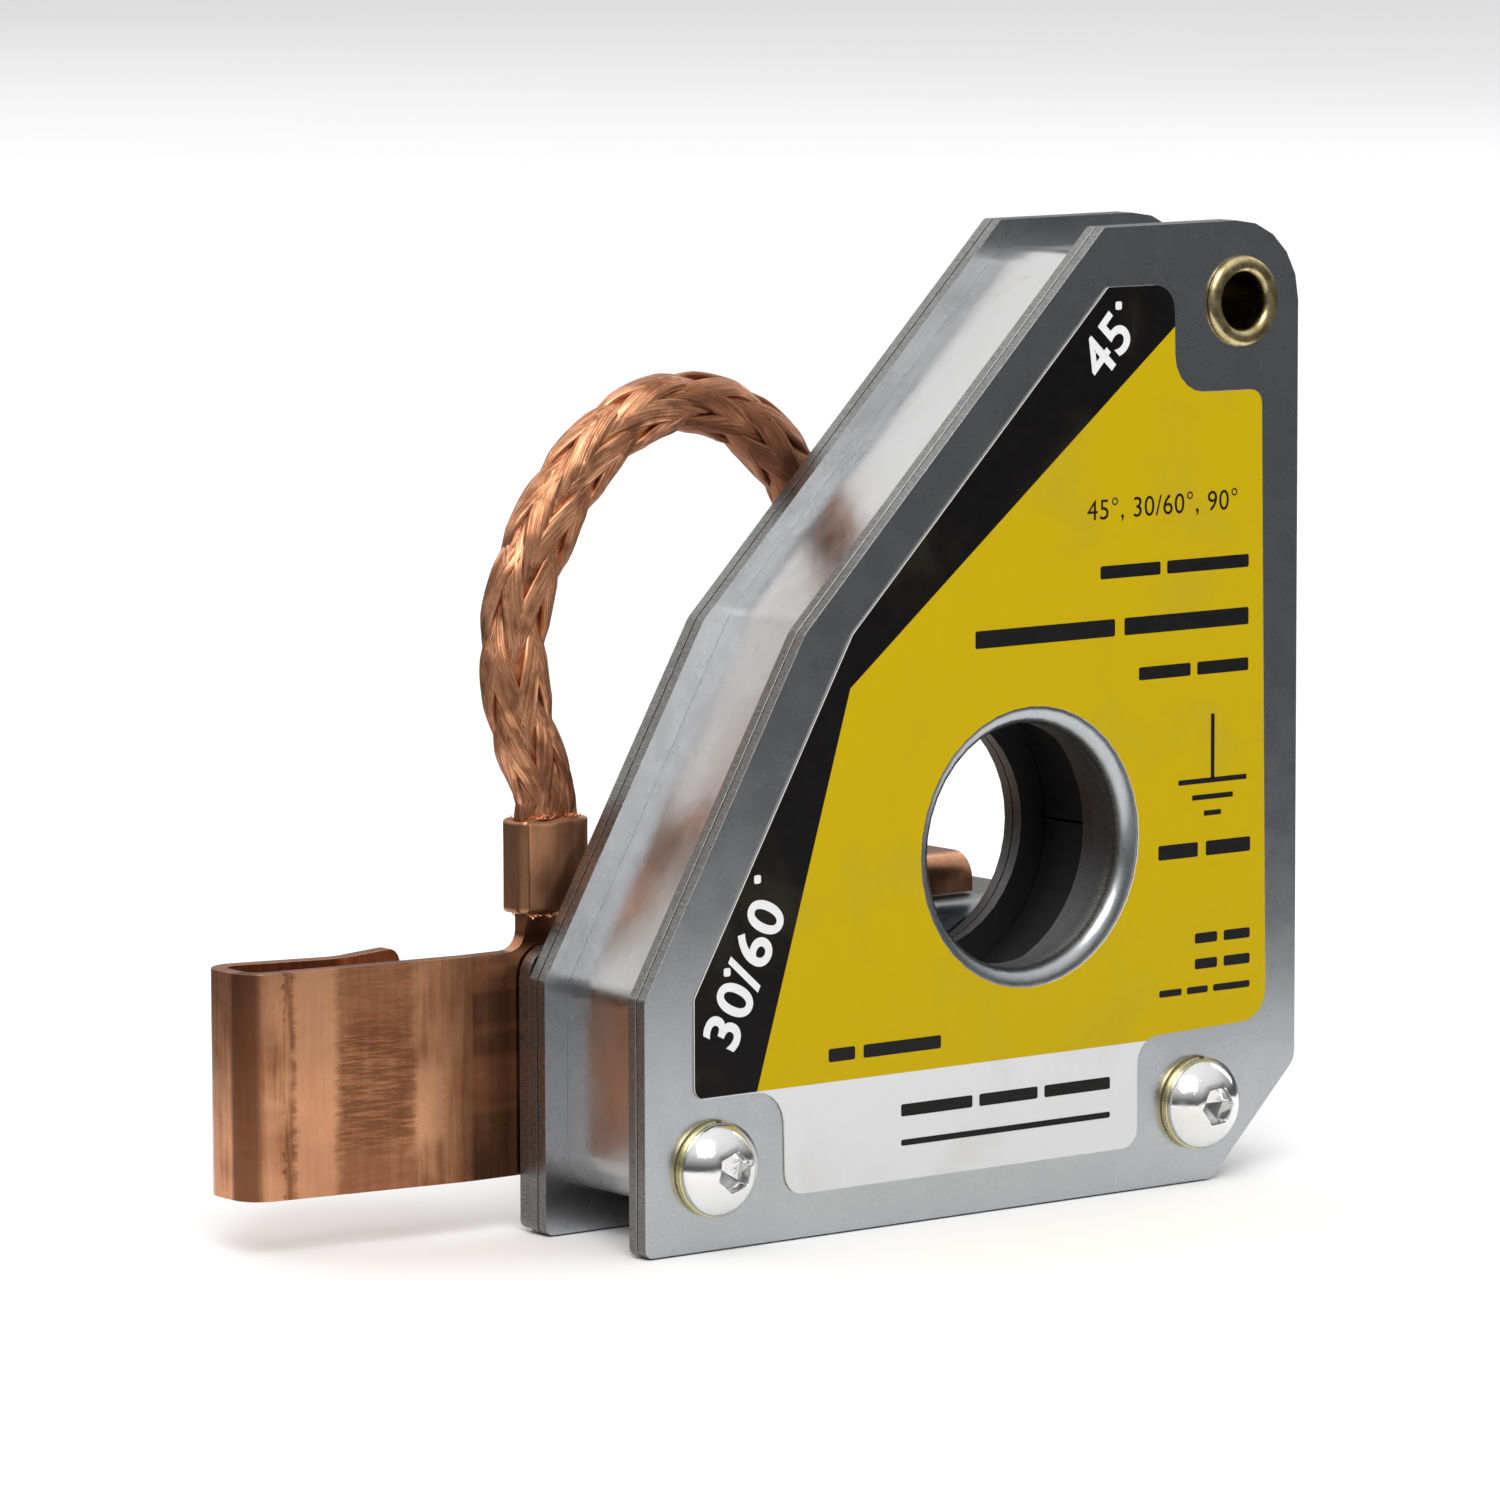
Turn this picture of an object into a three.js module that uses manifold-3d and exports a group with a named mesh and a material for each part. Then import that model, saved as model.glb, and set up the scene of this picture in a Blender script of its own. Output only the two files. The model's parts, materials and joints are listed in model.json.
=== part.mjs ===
// A grounding magnet with a clamp tab: a multi-angle magnetic welding square whose
// copper tab takes the jaws of a ground clamp. A copper braid carries the current
// from the tab to a sprung copper pad that presses on the workpiece.
//
// Millimetres, +Z up. X runs along the base, from the tab towards the square corner.
// Y runs from the labelled front (-Y) to the back. Every size below is given with
// X from the plates' left edge, Y from the front face and Z from the base; the whole
// group is moved at the end, so that the origin is the middle of the footprint.

import * as THREE from 'three';
import { mergeVertices } from 'three/addons/utils/BufferGeometryUtils.js';
import Module from 'manifold-3d';

const wasm = await Module();
wasm.setup();

// ---------------------------------------------------------------- dimensions

const plateWidth = 95.25;
const plateHeight = 111.1;
const sheet = 1.4;                 // each pole plate is two sheets
const sheetGap = 0.2;              // the fine gap between the two sheets
const core = 15.4;                 // clear width between the pole plates
const lowCorner = 28.7;            // height of the 90 degree edge on the left
const midCornerX = 22.6;           // where the 60 degree edge meets the 45 degree edge
const topRadius = 9.5;
const chamferX = 82.6;
const chamferZ = 12.8;

const pair = 2 * sheet + sheetGap;             // thickness of one laminated pole plate
const frontOuter = [0, sheet];
const frontInner = [sheet + sheetGap, pair];
const rearInner = [pair + core, pair + core + sheet];
const rearOuter = [pair + core + sheet + sheetGap, 2 * pair + core];
const back = rearOuter[1];

const midCornerZ = lowCorner + midCornerX * Math.tan(Math.PI / 3);
const topCornerX = midCornerX + plateHeight - midCornerZ;

const hole = { x: 55, z: 41.2, r: 14 };        // big hole through the square
const lipRadius = 2;                           // rolled lip of the front sheet
const frontFlangeEnd = 5.5;
const lipRoot = 1.2;                           // flat ring of sheet beyond the rolled lip
const innerFlangeEnd = 9.4;
const innerCollarWall = 1.3;
const flangeClearance = 0.4;
const seamOverlap = 0.6;                       // overlap of two shapes joined into one piece

const screwZ = 9.2;
const screwXs = { left: 9.5, right: 80.1 };
const screwHole = 3.3;
const screw = { shank: 3, head: 5.25, headHeight: 3.3, socket: 4, tipBeyondNut: 1.4, tipChamfer: 0.7 };
const lockWasher = { inner: 3.15, outer: 5.75, thickness: 1.5, split: 0.8 };
const rearWasher = { inner: 3.1, outer: 6, thickness: 1.2 };
const nut = { inner: 3.1, acrossFlats: 10, height: 4.8, face: 5.2, corner: 5.9, chamfer: 0.6 };
const seatGap = 0.05;                          // gap between faces a screw draws together
const sleeve = { inner: 3.1, outer: 3.75 };
const cornerRoom = 5.2;                        // room left in the magnets round screws and eyelet
const magnetWall = { band: 0.4, collar: 1.8 }; // room between the magnets and what they fill
const eyelet = { x: 86.5, z: 101.8, bore: 3.15, barrel: 3.75, rim: 5.25, rimThickness: 0.9, hole: 4 };
const labelSpan = [-0.25, -0.05];

const fit = 0.3;                               // gap left between touching pieces
const bandThickness = 0.8;
const bandCorner = 5;
const bandInset = { left: 3.1, slant60: 3.0, slant45: 2.2, top: 3.2, right: 3, chamfer: 3, base: 4.5 };

const bracketSheet = 1.8;
const bracketFront = back + fit;
const bracketBack = bracketFront + bracketSheet;
const bracketTop = 32.2;
const bracketRight = 75.5;
const shelf = { left: 35, depth: 37.2, webTop: 19, bendStart: 17, bendRadius: 1.9 };

const copperSheet = 1.8;
const tab = { bottom: 6.2, top: 31.6, right: 26, notchX: 3.2, notchZ: 17 };
const tabFront = bracketBack + fit;
const tabMiddle = tabFront + copperSheet / 2;
const lugWidth = 7.4;
const lugLeft = 1.2;
const ferrule = { width: 9.8, depth: 4.6, height: 10.8, wall: 0.9, corner: 1.3 };
const ferruleLift = 4;                         // bare lug below each ferrule
const rivetXs = [13.5, 21.5];
const rivetZ = 24.5;
const rivet = { shank: 2, hole: 2.15, head: 3.6, headHeight: 1.6 };
const foldSplit = 30.8;                        // Y between the tab's front leaf and its free end

const padStrap = 1.6;
const pad = { left: 40.9, right: 66.3, top: 37, back: 39.2 };
const padFront = bracketBack + fit + 0.2;
const padLugLeft = 41.7;
const padBend = 2.4;
const padRelief = { bottom: 34, depth: 3.4, side: 1.2 };   // cut in the hood beside the lug
const pinXs = { left: 47.2, right: 60 };
const pinY = 31.4;
const pinRadius = 2;
const pinCollar = 1;
const pinEnds = [0.4, 34.6];
const pinChamfer = 0.6;
const springRadius = 3.4;
const springWire = 0.9;
const springTurns = 7;

const braid = { width: 7.6, depth: 6, bow: 1.7 };      // bow: how far the arch stands off the plate

// ------------------------------------------------------------------- helpers

const colours = {
  zinc: { color: 0xa9abac, roughness: 0.38, metalness: 0.9 },
  bright: { color: 0xdcdcdc, roughness: 0.12, metalness: 1 },
  yellowZinc: { color: 0xc9b463, roughness: 0.3, metalness: 0.9 },
  satin: { color: 0xc3c4c4, roughness: 0.3, metalness: 0.95 },
  copper: { color: 0xb87450, roughness: 0.32, metalness: 1 },
  braid: { color: 0xb06c44, roughness: 0.45, metalness: 1 },
  brass: { color: 0xb59a55, roughness: 0.25, metalness: 1 },
  ferrite: { color: 0x242426, roughness: 0.85, metalness: 0.1 },
  label: { color: 0xd1b400, roughness: 0.45, metalness: 0 },
  spring: { color: 0x8d9093, roughness: 0.3, metalness: 0.95 },
};

const group = new THREE.Group();

function addPiece(name, geometry, look) {
  const mesh = new THREE.Mesh(geometry, new THREE.MeshStandardMaterial(colours[look]));
  mesh.name = name;
  group.add(mesh);
}

// A geometry with only merged positions on a fine grid, its faces turned to point out.
const grid = 1e-4;

function closed(geometry) {
  const bare = geometry.clone();
  bare.deleteAttribute('normal');
  bare.deleteAttribute('uv');
  const places = bare.getAttribute('position').array;
  places.forEach((value, i) => {
    places[i] = Math.round(value / grid) * grid;
  });
  const merged = mergeVertices(bare, grid / 2);
  const position = merged.getAttribute('position');
  const index = merged.getIndex().array;
  const a = new THREE.Vector3();
  const b = new THREE.Vector3();
  const c = new THREE.Vector3();
  const kept = [];
  let volume = 0;
  for (let i = 0; i < index.length; i += 3) {
    const [p, q, r] = [index[i], index[i + 1], index[i + 2]];
    if (p === q || q === r || r === p) continue;
    a.fromBufferAttribute(position, p);
    b.fromBufferAttribute(position, q);
    c.fromBufferAttribute(position, r);
    volume += a.dot(b.cross(c)) / 6;
    kept.push(p, q, r);
  }
  if (volume < 0) kept.reverse();
  merged.setIndex(kept);
  return merged;
}

function solidOf(geometry) {
  const ready = closed(geometry);
  return new wasm.Manifold(new wasm.Mesh({
    numProp: 3,
    vertProperties: new Float32Array(ready.getAttribute('position').array),
    triVerts: new Uint32Array(ready.getIndex().array),
  }));
}

function geometryOf(solid) {
  const mesh = solid.getMesh();
  const geometry = new THREE.BufferGeometry();
  geometry.setAttribute('position', new THREE.BufferAttribute(new Float32Array(mesh.vertProperties), 3));
  geometry.setIndex(Array.from(mesh.triVerts));
  geometry.computeVertexNormals();
  return geometry;
}

function joined(...geometries) {
  return geometryOf(geometries.map(solidOf).reduce((sum, next) => sum.add(next)));
}

function cut(geometry, ...tools) {
  return geometryOf(tools.map(solidOf).reduce((rest, tool) => rest.subtract(tool), solidOf(geometry)));
}

function common(geometry, other) {
  return geometryOf(solidOf(geometry).intersect(solidOf(other)));
}

// A closed loop of points through corners [x, y, radius], each corner rounded by an arc.
function roundedLoop(corners, stepDegrees = 18) {
  const loop = [];
  corners.forEach(([x, y, radius], i) => {
    const here = new THREE.Vector2(x, y);
    const [px, py] = corners[(i + corners.length - 1) % corners.length];
    const [nx, ny] = corners[(i + 1) % corners.length];
    const inward = new THREE.Vector2(px, py).sub(here).normalize();
    const outward = new THREE.Vector2(nx, ny).sub(here).normalize();
    const half = Math.acos(THREE.MathUtils.clamp(inward.dot(outward), -1, 1)) / 2;
    const turn = Math.PI - 2 * half;
    if (!radius || turn < 0.02) {
      loop.push(here);
      return;
    }
    const tangent = radius / Math.tan(half);
    const centre = here.clone().addScaledVector(
      inward.clone().add(outward).normalize(), radius / Math.sin(half));
    const start = here.clone().addScaledVector(inward, tangent).sub(centre);
    const steps = Math.max(1, Math.round(THREE.MathUtils.radToDeg(turn) / stepDegrees));
    const side = Math.sign(start.cross(here.clone().addScaledVector(outward, tangent).sub(centre)));
    for (let k = 0; k <= steps; k += 1) {
      const spoke = start.clone().rotateAround(new THREE.Vector2(), side * turn * k / steps);
      loop.push(centre.clone().add(spoke));
    }
  });
  return loop;
}

function circle(x, y, radius, segments = 32) {
  const loop = [];
  for (let k = 0; k < segments; k += 1) {
    const angle = 2 * Math.PI * k / segments;
    loop.push(new THREE.Vector2(x + radius * Math.cos(angle), y + radius * Math.sin(angle)));
  }
  return loop;
}

function ellipse(halfWidth, halfHeight, segments) {
  return circle(0, 0, 1, segments).map(({ x, y }) => new THREE.Vector2(halfWidth * x, halfHeight * y));
}

function rectangle(x0, y0, x1, y1) {
  return [[x0, y0], [x1, y0], [x1, y1], [x0, y1]].map(([x, y]) => new THREE.Vector2(x, y));
}

function extruded(loop, holes, depth) {
  const shape = new THREE.Shape(loop);
  shape.holes = holes.map((points) => new THREE.Path(points));
  return new THREE.ExtrudeGeometry(shape, { depth, bevelEnabled: false });
}

// A loop drawn in X and Z, as thick as the span [y0, y1].
function slabY(loop, [y0, y1], holes = []) {
  const geometry = extruded(loop, holes, y1 - y0);
  geometry.rotateX(Math.PI / 2);
  geometry.translate(0, y1, 0);
  return geometry;
}

// A loop drawn in X and Y, from z0 up to z1.
function slabZ(loop, [z0, z1], holes = []) {
  const geometry = extruded(loop, holes, z1 - z0);
  geometry.translate(0, 0, z0);
  return geometry;
}

// A loop drawn in Y and Z, from x0 to x1.
function slabX(loop, [x0, x1], holes = []) {
  const geometry = extruded(loop, holes, x1 - x0);
  const turn = new THREE.Matrix4().makeBasis(
    new THREE.Vector3(0, 1, 0), new THREE.Vector3(0, 0, 1), new THREE.Vector3(1, 0, 0));
  geometry.applyMatrix4(turn);
  geometry.translate(x0, 0, 0);
  return geometry;
}

// A profile of [radius, y] turned about a line along Y through (x, z).
function turnedY(profile, x, z, segments = 32) {
  const points = profile.map(([radius, y]) => new THREE.Vector2(radius, y));
  const geometry = new THREE.LatheGeometry(points, segments);
  geometry.translate(x, 0, z);
  return geometry;
}

// A profile of [radius, z] turned about a line along Z through (x, y).
function turnedZ(profile, x, y, segments = 24) {
  const points = profile.map(([radius, z]) => new THREE.Vector2(radius, z));
  const geometry = new THREE.LatheGeometry(points, segments);
  geometry.rotateX(Math.PI / 2);
  geometry.translate(x, y, 0);
  return geometry;
}

function ringY(inner, outer, [y0, y1], x, z, segments = 32) {
  return turnedY([[inner, y0], [outer, y0], [outer, y1], [inner, y1], [inner, y0]], x, z, segments);
}

function rodY(radius, [y0, y1], x, z, segments = 32) {
  return turnedY([[0, y0], [radius, y0], [radius, y1], [0, y1]], x, z, segments);
}

// A strip of sheet that follows a line of points: a closed loop, half the sheet to each side.
function stripLoop(line, thickness) {
  const left = [];
  const right = [];
  line.forEach((point, i) => {
    const before = line[Math.max(i - 1, 0)];
    const after = line[Math.min(i + 1, line.length - 1)];
    const along = after.clone().sub(before).normalize();
    const normal = new THREE.Vector2(-along.y, along.x).multiplyScalar(thickness / 2);
    left.push(point.clone().add(normal));
    right.unshift(point.clone().sub(normal));
  });
  return [...left, ...right];
}

// An open line through corners [x, y, radius], its inner corners rounded by arcs.
function bentLine(corners, stepDegrees = 15) {
  const first = corners[0];
  const last = corners[corners.length - 1];
  const loop = roundedLoop(corners.map(([x, y, radius], i) => {
    const end = i === 0 || i === corners.length - 1;
    return [x, y, end ? 0 : radius];
  }), stepDegrees);
  const start = loop.findIndex((point) => point.x === first[0] && point.y === first[1]);
  const line = [...loop.slice(start), ...loop.slice(0, start)];
  const end = line.findIndex((point) => point.x === last[0] && point.y === last[1]);
  return line.slice(0, end + 1);
}

// ------------------------------------------------------------------ outlines

const plateCorners = [
  [0, 0, 1],
  [chamferX, 0, 1.6],
  [plateWidth, chamferZ, 2.2],
  [plateWidth, plateHeight, topRadius],
  [topCornerX, plateHeight, 0.6],
  [midCornerX, midCornerZ, 1.6],
  [0, lowCorner, 0.8],
];
const plateLoop = roundedLoop(plateCorners);

// The plate outline moved in by one distance per edge, each corner rounded alike.
function insetLoop(extra, radius) {
  const distances = [
    bandInset.base, bandInset.chamfer, bandInset.right, bandInset.top,
    bandInset.slant45, bandInset.slant60, bandInset.left,
  ];
  const edges = plateCorners.map(([x, y], i) => {
    const [nx, ny] = plateCorners[(i + 1) % plateCorners.length];
    const along = new THREE.Vector2(nx - x, ny - y).normalize();
    const inward = new THREE.Vector2(-along.y, along.x);
    const start = new THREE.Vector2(x, y).addScaledVector(inward, distances[i] + extra);
    return { start, along };
  });
  const corners = edges.map((edge, i) => {
    const before = edges[(i + edges.length - 1) % edges.length];
    const gap = edge.start.clone().sub(before.start);
    const reach = gap.cross(edge.along) / before.along.cross(edge.along);
    const corner = before.start.clone().addScaledVector(before.along, reach);
    return [corner.x, corner.y, Math.max(radius - extra, 0.4)];
  });
  return roundedLoop(corners);
}

// ------------------------------------------------------------- magnetic core

const coreSpan = [pair + fit / 2, pair + core - fit / 2];
const screwHoles = Object.values(screwXs).map((x) => circle(x, screwZ, screwHole, 24));
const eyeletHole = circle(eyelet.x, eyelet.z, eyelet.hole, 24);
const holeSegments = 40;

function addPolePlates() {
  const lip = [];
  const arcSteps = 5;
  for (let k = 0; k <= arcSteps; k += 1) {
    const angle = k / arcSteps * Math.PI / 2;
    lip.push([hole.r + lipRadius * (1 - Math.sin(angle)), lipRadius * (1 - Math.cos(angle))]);
  }
  lip.push([hole.r, frontFlangeEnd], [hole.r + sheet, frontFlangeEnd], [hole.r + sheet, lipRadius]);
  const rootRadius = lipRadius - sheet;
  const rootSteps = 2;
  for (let k = 1; k <= rootSteps; k += 1) {
    const angle = k / rootSteps * Math.PI / 2;
    lip.push([
      hole.r + sheet + rootRadius * (1 - Math.cos(angle)),
      lipRadius - rootRadius * Math.sin(angle),
    ]);
  }
  const ringEdge = hole.r + lipRadius + lipRoot;
  lip.push([ringEdge, sheet], [ringEdge, 0], lip[0]);
  const lipHole = circle(hole.x, hole.z, ringEdge - seamOverlap, holeSegments);
  addPiece('front_outer_plate', joined(
    slabY(plateLoop, frontOuter, [lipHole, ...screwHoles, eyeletHole]),
    turnedY(lip, hole.x, hole.z, holeSegments),
  ), 'zinc');

  const collar = hole.r + sheet + flangeClearance;
  const collarHole = circle(hole.x, hole.z, collar + seamOverlap, holeSegments);
  const collarSpan = [frontInner[0], innerFlangeEnd];
  addPiece('front_inner_plate', joined(
    slabY(plateLoop, frontInner, [collarHole, ...screwHoles, eyeletHole]),
    ringY(collar, collar + innerCollarWall, collarSpan, hole.x, hole.z, holeSegments),
  ), 'zinc');

  const rearHoles = [circle(hole.x, hole.z, hole.r, holeSegments), ...screwHoles, eyeletHole];
  addPiece('rear_inner_plate', slabY(plateLoop, rearInner, rearHoles), 'zinc');
  addPiece('rear_outer_plate', slabY(plateLoop, rearOuter, rearHoles), 'zinc');
}

function addCore() {
  const bandInside = insetLoop(bandThickness, bandCorner);
  addPiece('spacer_band', slabY(insetLoop(0, bandCorner), coreSpan, [bandInside]), 'satin');

  const block = slabY(insetLoop(bandThickness + magnetWall.band, bandCorner), coreSpan);
  const boreRadius = hole.r + sheet + flangeClearance + magnetWall.collar;
  const bore = rodY(boreRadius, [0, back], hole.x, hole.z, holeSegments);
  const corners = [
    rectangle(-1, -1, screwXs.left + cornerRoom, screwZ + cornerRoom),
    rectangle(screwXs.right - cornerRoom, -1, plateWidth + 1, screwZ + cornerRoom),
    rectangle(eyelet.x - cornerRoom, eyelet.z - cornerRoom, plateWidth + 1, plateHeight + 1),
  ].map((room) => slabY(room, [0, back]));
  const magnet = cut(block, bore, ...corners);
  const splitZ = hole.z;
  const seam = fit / 2;
  const regions = {
    magnet_lower_left: rectangle(-1, -1, hole.x - seam, splitZ - seam),
    magnet_lower_right: rectangle(hole.x + seam, -1, plateWidth + 1, splitZ - seam),
    magnet_upper: rectangle(-1, splitZ + seam, plateWidth + 1, plateHeight + 1),
  };
  for (const [name, region] of Object.entries(regions)) {
    addPiece(name, common(magnet, slabY(region, [0, back])), 'ferrite');
  }
}

function addEyelet() {
  const backRim = back + eyelet.rimThickness;
  const profile = [
    [eyelet.bore, -0.4],
    [eyelet.bore + 0.7, -eyelet.rimThickness],
    [eyelet.rim - 0.7, -eyelet.rimThickness + 0.1],
    [eyelet.rim, -0.35],
    [eyelet.rim, -0.05],
    [eyelet.barrel, -0.05],
    [eyelet.barrel, back + 0.05],
    [eyelet.rim - 0.4, back + 0.05],
    [eyelet.rim - 0.4, backRim - 0.3],
    [eyelet.bore + 0.7, backRim],
    [eyelet.bore, backRim - 0.4],
    [eyelet.bore, -0.4],
  ];
  addPiece('hanging_eyelet', turnedY(profile, eyelet.x, eyelet.z, 28), 'brass');
}

function addLabel() {
  const corners = [
    [66.3, 104.3, 0.5],
    [29.2, 67.3, 1],
    [6.75, 28.4, 1],
    [6.75, 17.1, 1.4],
    [19.2, 17.1, 4],
    [19.5, 5, 2.4],
    [70.9, 5, 2.2],
    [70.9, 17.6, 3],
    [90.5, 18.1, 3.6],
    [89.5, 91.5, 1.6],
    [76.4, 91.7, 4.5],
    [76.2, 104.2, 3],
  ];
  const cutOut = circle(hole.x, hole.z, hole.r + lipRadius + 0.1, holeSegments);
  addPiece('front_label', slabY(roundedLoop(corners), labelSpan, [cutOut]), 'label');
}

// ------------------------------------------------------------------ fasteners

function hexagon(x, z, acrossFlats) {
  return circle(x, z, acrossFlats / Math.sqrt(3), 6);
}

function addScrew(side, clampEnd) {
  const x = screwXs[side];
  const seat = -lockWasher.thickness - 2 * seatGap;
  const washerSpan = [seat + seatGap, -seatGap];
  const halfSplit = lockWasher.split / 2;
  const split = slabY(rectangle(x - halfSplit, screwZ, x + halfSplit, screwZ + 8), [-3, 1]);
  const fullWasher = ringY(lockWasher.inner, lockWasher.outer, washerSpan, x, screwZ, 36);
  addPiece(`${side}_lock_washer`, cut(fullWasher, split), 'yellowZinc');

  const face = seat - screw.headHeight;
  const tip = clampEnd + rearWasher.thickness + nut.height + screw.tipBeyondNut;
  const profile = [
    [0, tip],
    [screw.shank - screw.tipChamfer, tip],
    [screw.shank, tip - screw.tipChamfer],
    [screw.shank, seat],
    [screw.head, seat],
  ];
  const domeSteps = 6;
  const domeAngle = Math.PI / 2.6;
  for (let k = 1; k <= domeSteps; k += 1) {
    const angle = k / domeSteps * domeAngle;
    const rise = screw.headHeight * Math.sin(angle) / Math.sin(domeAngle);
    profile.push([screw.head * Math.cos(angle), seat - rise]);
  }
  profile.push([0, face]);
  const socket = slabY(hexagon(x, screwZ, screw.socket), [face - 1, face + 2]);
  addPiece(`${side}_screw`, cut(turnedY(profile, x, screwZ, 32), socket), 'bright');

  const washerStart = clampEnd + seatGap;
  const washerEnd = washerStart + rearWasher.thickness;
  const plainWasher = ringY(rearWasher.inner, rearWasher.outer, [washerStart, washerEnd], x, screwZ, 32);
  addPiece(`${side}_rear_washer`, plainWasher, 'zinc');

  const nutStart = washerEnd + seatGap;
  const nutEnd = nutStart + nut.height;
  const chamfers = turnedY([
    [0, nutStart],
    [nut.face, nutStart],
    [nut.corner, nutStart + nut.chamfer],
    [nut.corner, nutEnd - nut.chamfer],
    [nut.face, nutEnd],
    [0, nutEnd],
  ], x, screwZ, 24);
  const nutHole = circle(x, screwZ, nut.inner, 24);
  const hexNut = slabY(hexagon(x, screwZ, nut.acrossFlats), [nutStart, nutEnd], [nutHole]);
  addPiece(`${side}_nut`, common(hexNut, chamfers), 'zinc');

  addPiece(`${side}_spacer_sleeve`, ringY(sleeve.inner, sleeve.outer, coreSpan, x, screwZ, 24), 'zinc');
}

// ------------------------------------------------------------ bracket and tab

function addBracket() {
  const webCorners = [
    [0.2, 0.2, 1],
    [82.3, 0.2, 1.5],
    [91, 9, 1.5],
    [91, shelf.webTop, 2],
    [shelf.left, shelf.webTop, 0],
    [shelf.left, bracketTop, 0],
    [0.2, bracketTop, 3.6],
  ];
  const webHoles = Object.values(screwXs).map((x) => circle(x, screwZ, screwHole, 24));
  const rivetHoles = rivetXs.map((x) => circle(x, rivetZ, rivet.hole, 16));
  const web = slabY(roundedLoop(webCorners), [bracketFront, bracketBack], [...webHoles, ...rivetHoles]);
  const shelfMiddle = bracketTop - bracketSheet / 2;
  const webMiddle = (bracketFront + bracketBack) / 2;
  const bend = bentLine([
    [webMiddle, shelf.bendStart, 0],
    [webMiddle, shelfMiddle, shelf.bendRadius],
    [shelf.depth, shelfMiddle, 0],
  ]);
  const angle = slabX(stripLoop(bend, bracketSheet), [shelf.left, bracketRight]);
  const pinHoles = Object.values(pinXs).map((x) => slabZ(circle(x, pinY, pinRadius + fit, 20), [28, 34]));
  addPiece('rear_bracket', cut(joined(web, angle), ...pinHoles), 'zinc');
}

function lugPlate(left, base, [y0, y1]) {
  const flare = 2.2;
  const footLeft = left - flare - seamOverlap;
  const footRight = left + lugWidth + flare + seamOverlap;
  const insideFerrule = ferrule.height * 0.45;
  const top = base + ferruleLift + insideFerrule;
  const tipCorner = 0.6;
  const corners = [
    [footLeft, base - 2, 0],
    [footRight, base - 2, 0],
    [footRight, base, 0],
    [left + lugWidth, base, flare],
    [left + lugWidth, top, tipCorner],
    [left, top, tipCorner],
    [left, base, flare],
    [footLeft, base, 0],
  ];
  return slabY(roundedLoop(corners), [y0, y1]);
}

function addClampTab() {
  const line = bentLine([
    [tab.right, tabMiddle, 0],
    [-6.5, tabMiddle, 14],
    [-33.1, 28.2, 2.6],
    [-33.1, 36.7, 2.6],
    [-18, 32.9, 6],
    [-8.3, 35.7, 0],
  ], 12);
  const strip = slabZ(stripLoop(line, copperSheet), [tab.bottom, tab.top]);
  const notch = slabY(rectangle(tab.notchX, 0, tab.right + 1, tab.notchZ), [bracketBack, foldSplit]);
  const lug = lugPlate(lugLeft, tab.top, [tabFront, tabFront + copperSheet]);
  const freeEnd = roundedLoop([
    [-50, 0, 0], [-10, 0, 0], [-10, tab.bottom, 0], [-8, tab.bottom, 2], [-8, tab.top, 2], [-10, tab.top, 0],
    [-10, 50, 0], [-50, 50, 0],
  ]);
  const rearPart = slabY(freeEnd, [foldSplit, 60]);
  const frontPart = slabY(rectangle(-60, -10, 60, 90), [0, foldSplit]);
  const stencil = joined(frontPart, rearPart);
  const rivetHoles = rivetXs.map((x) => rodY(rivet.hole, [bracketBack, foldSplit], x, rivetZ, 16));
  addPiece('clamp_tab', cut(joined(common(strip, stencil), lug), notch, ...rivetHoles), 'copper');

  rivetXs.forEach((x, i) => {
    const seat = tabFront + copperSheet + seatGap;
    const profile = [
      [0, bracketFront + seatGap],
      [rivet.shank, bracketFront + seatGap],
      [rivet.shank, seat],
      [rivet.head, seat],
      [rivet.head - 0.3, seat + 0.8],
      [rivet.head - 1.4, seat + 1.4],
      [0, seat + rivet.headHeight],
    ];
    addPiece(`tab_rivet_${i + 1}`, turnedY(profile, x, rivetZ, 20), 'copper');
  });
}

// ------------------------------------------------- ferrules, braid and the pad

function ferruleLoop(x, y, inset) {
  const halfWidth = ferrule.width / 2 - inset;
  const halfDepth = ferrule.depth / 2 - inset;
  const radius = ferrule.corner - inset * 0.6;
  return roundedLoop([
    [x - halfWidth, y - halfDepth, radius],
    [x + halfWidth, y - halfDepth, radius],
    [x + halfWidth, y + halfDepth, radius],
    [x - halfWidth, y + halfDepth, radius],
  ]);
}

function addFerrule(name, x, y, z) {
  const outside = ferruleLoop(x, y, 0);
  const inside = ferruleLoop(x, y, ferrule.wall);
  addPiece(name, slabZ(outside, [z, z + ferrule.height], [inside]), 'copper');
}

const tabLugX = lugLeft + lugWidth / 2;
const padLugX = padLugLeft + lugWidth / 2;
const padLugY = padFront + padStrap / 2;
const tabFerruleZ = tab.top + ferruleLift;
const padFerruleZ = pad.top + ferruleLift;

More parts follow.
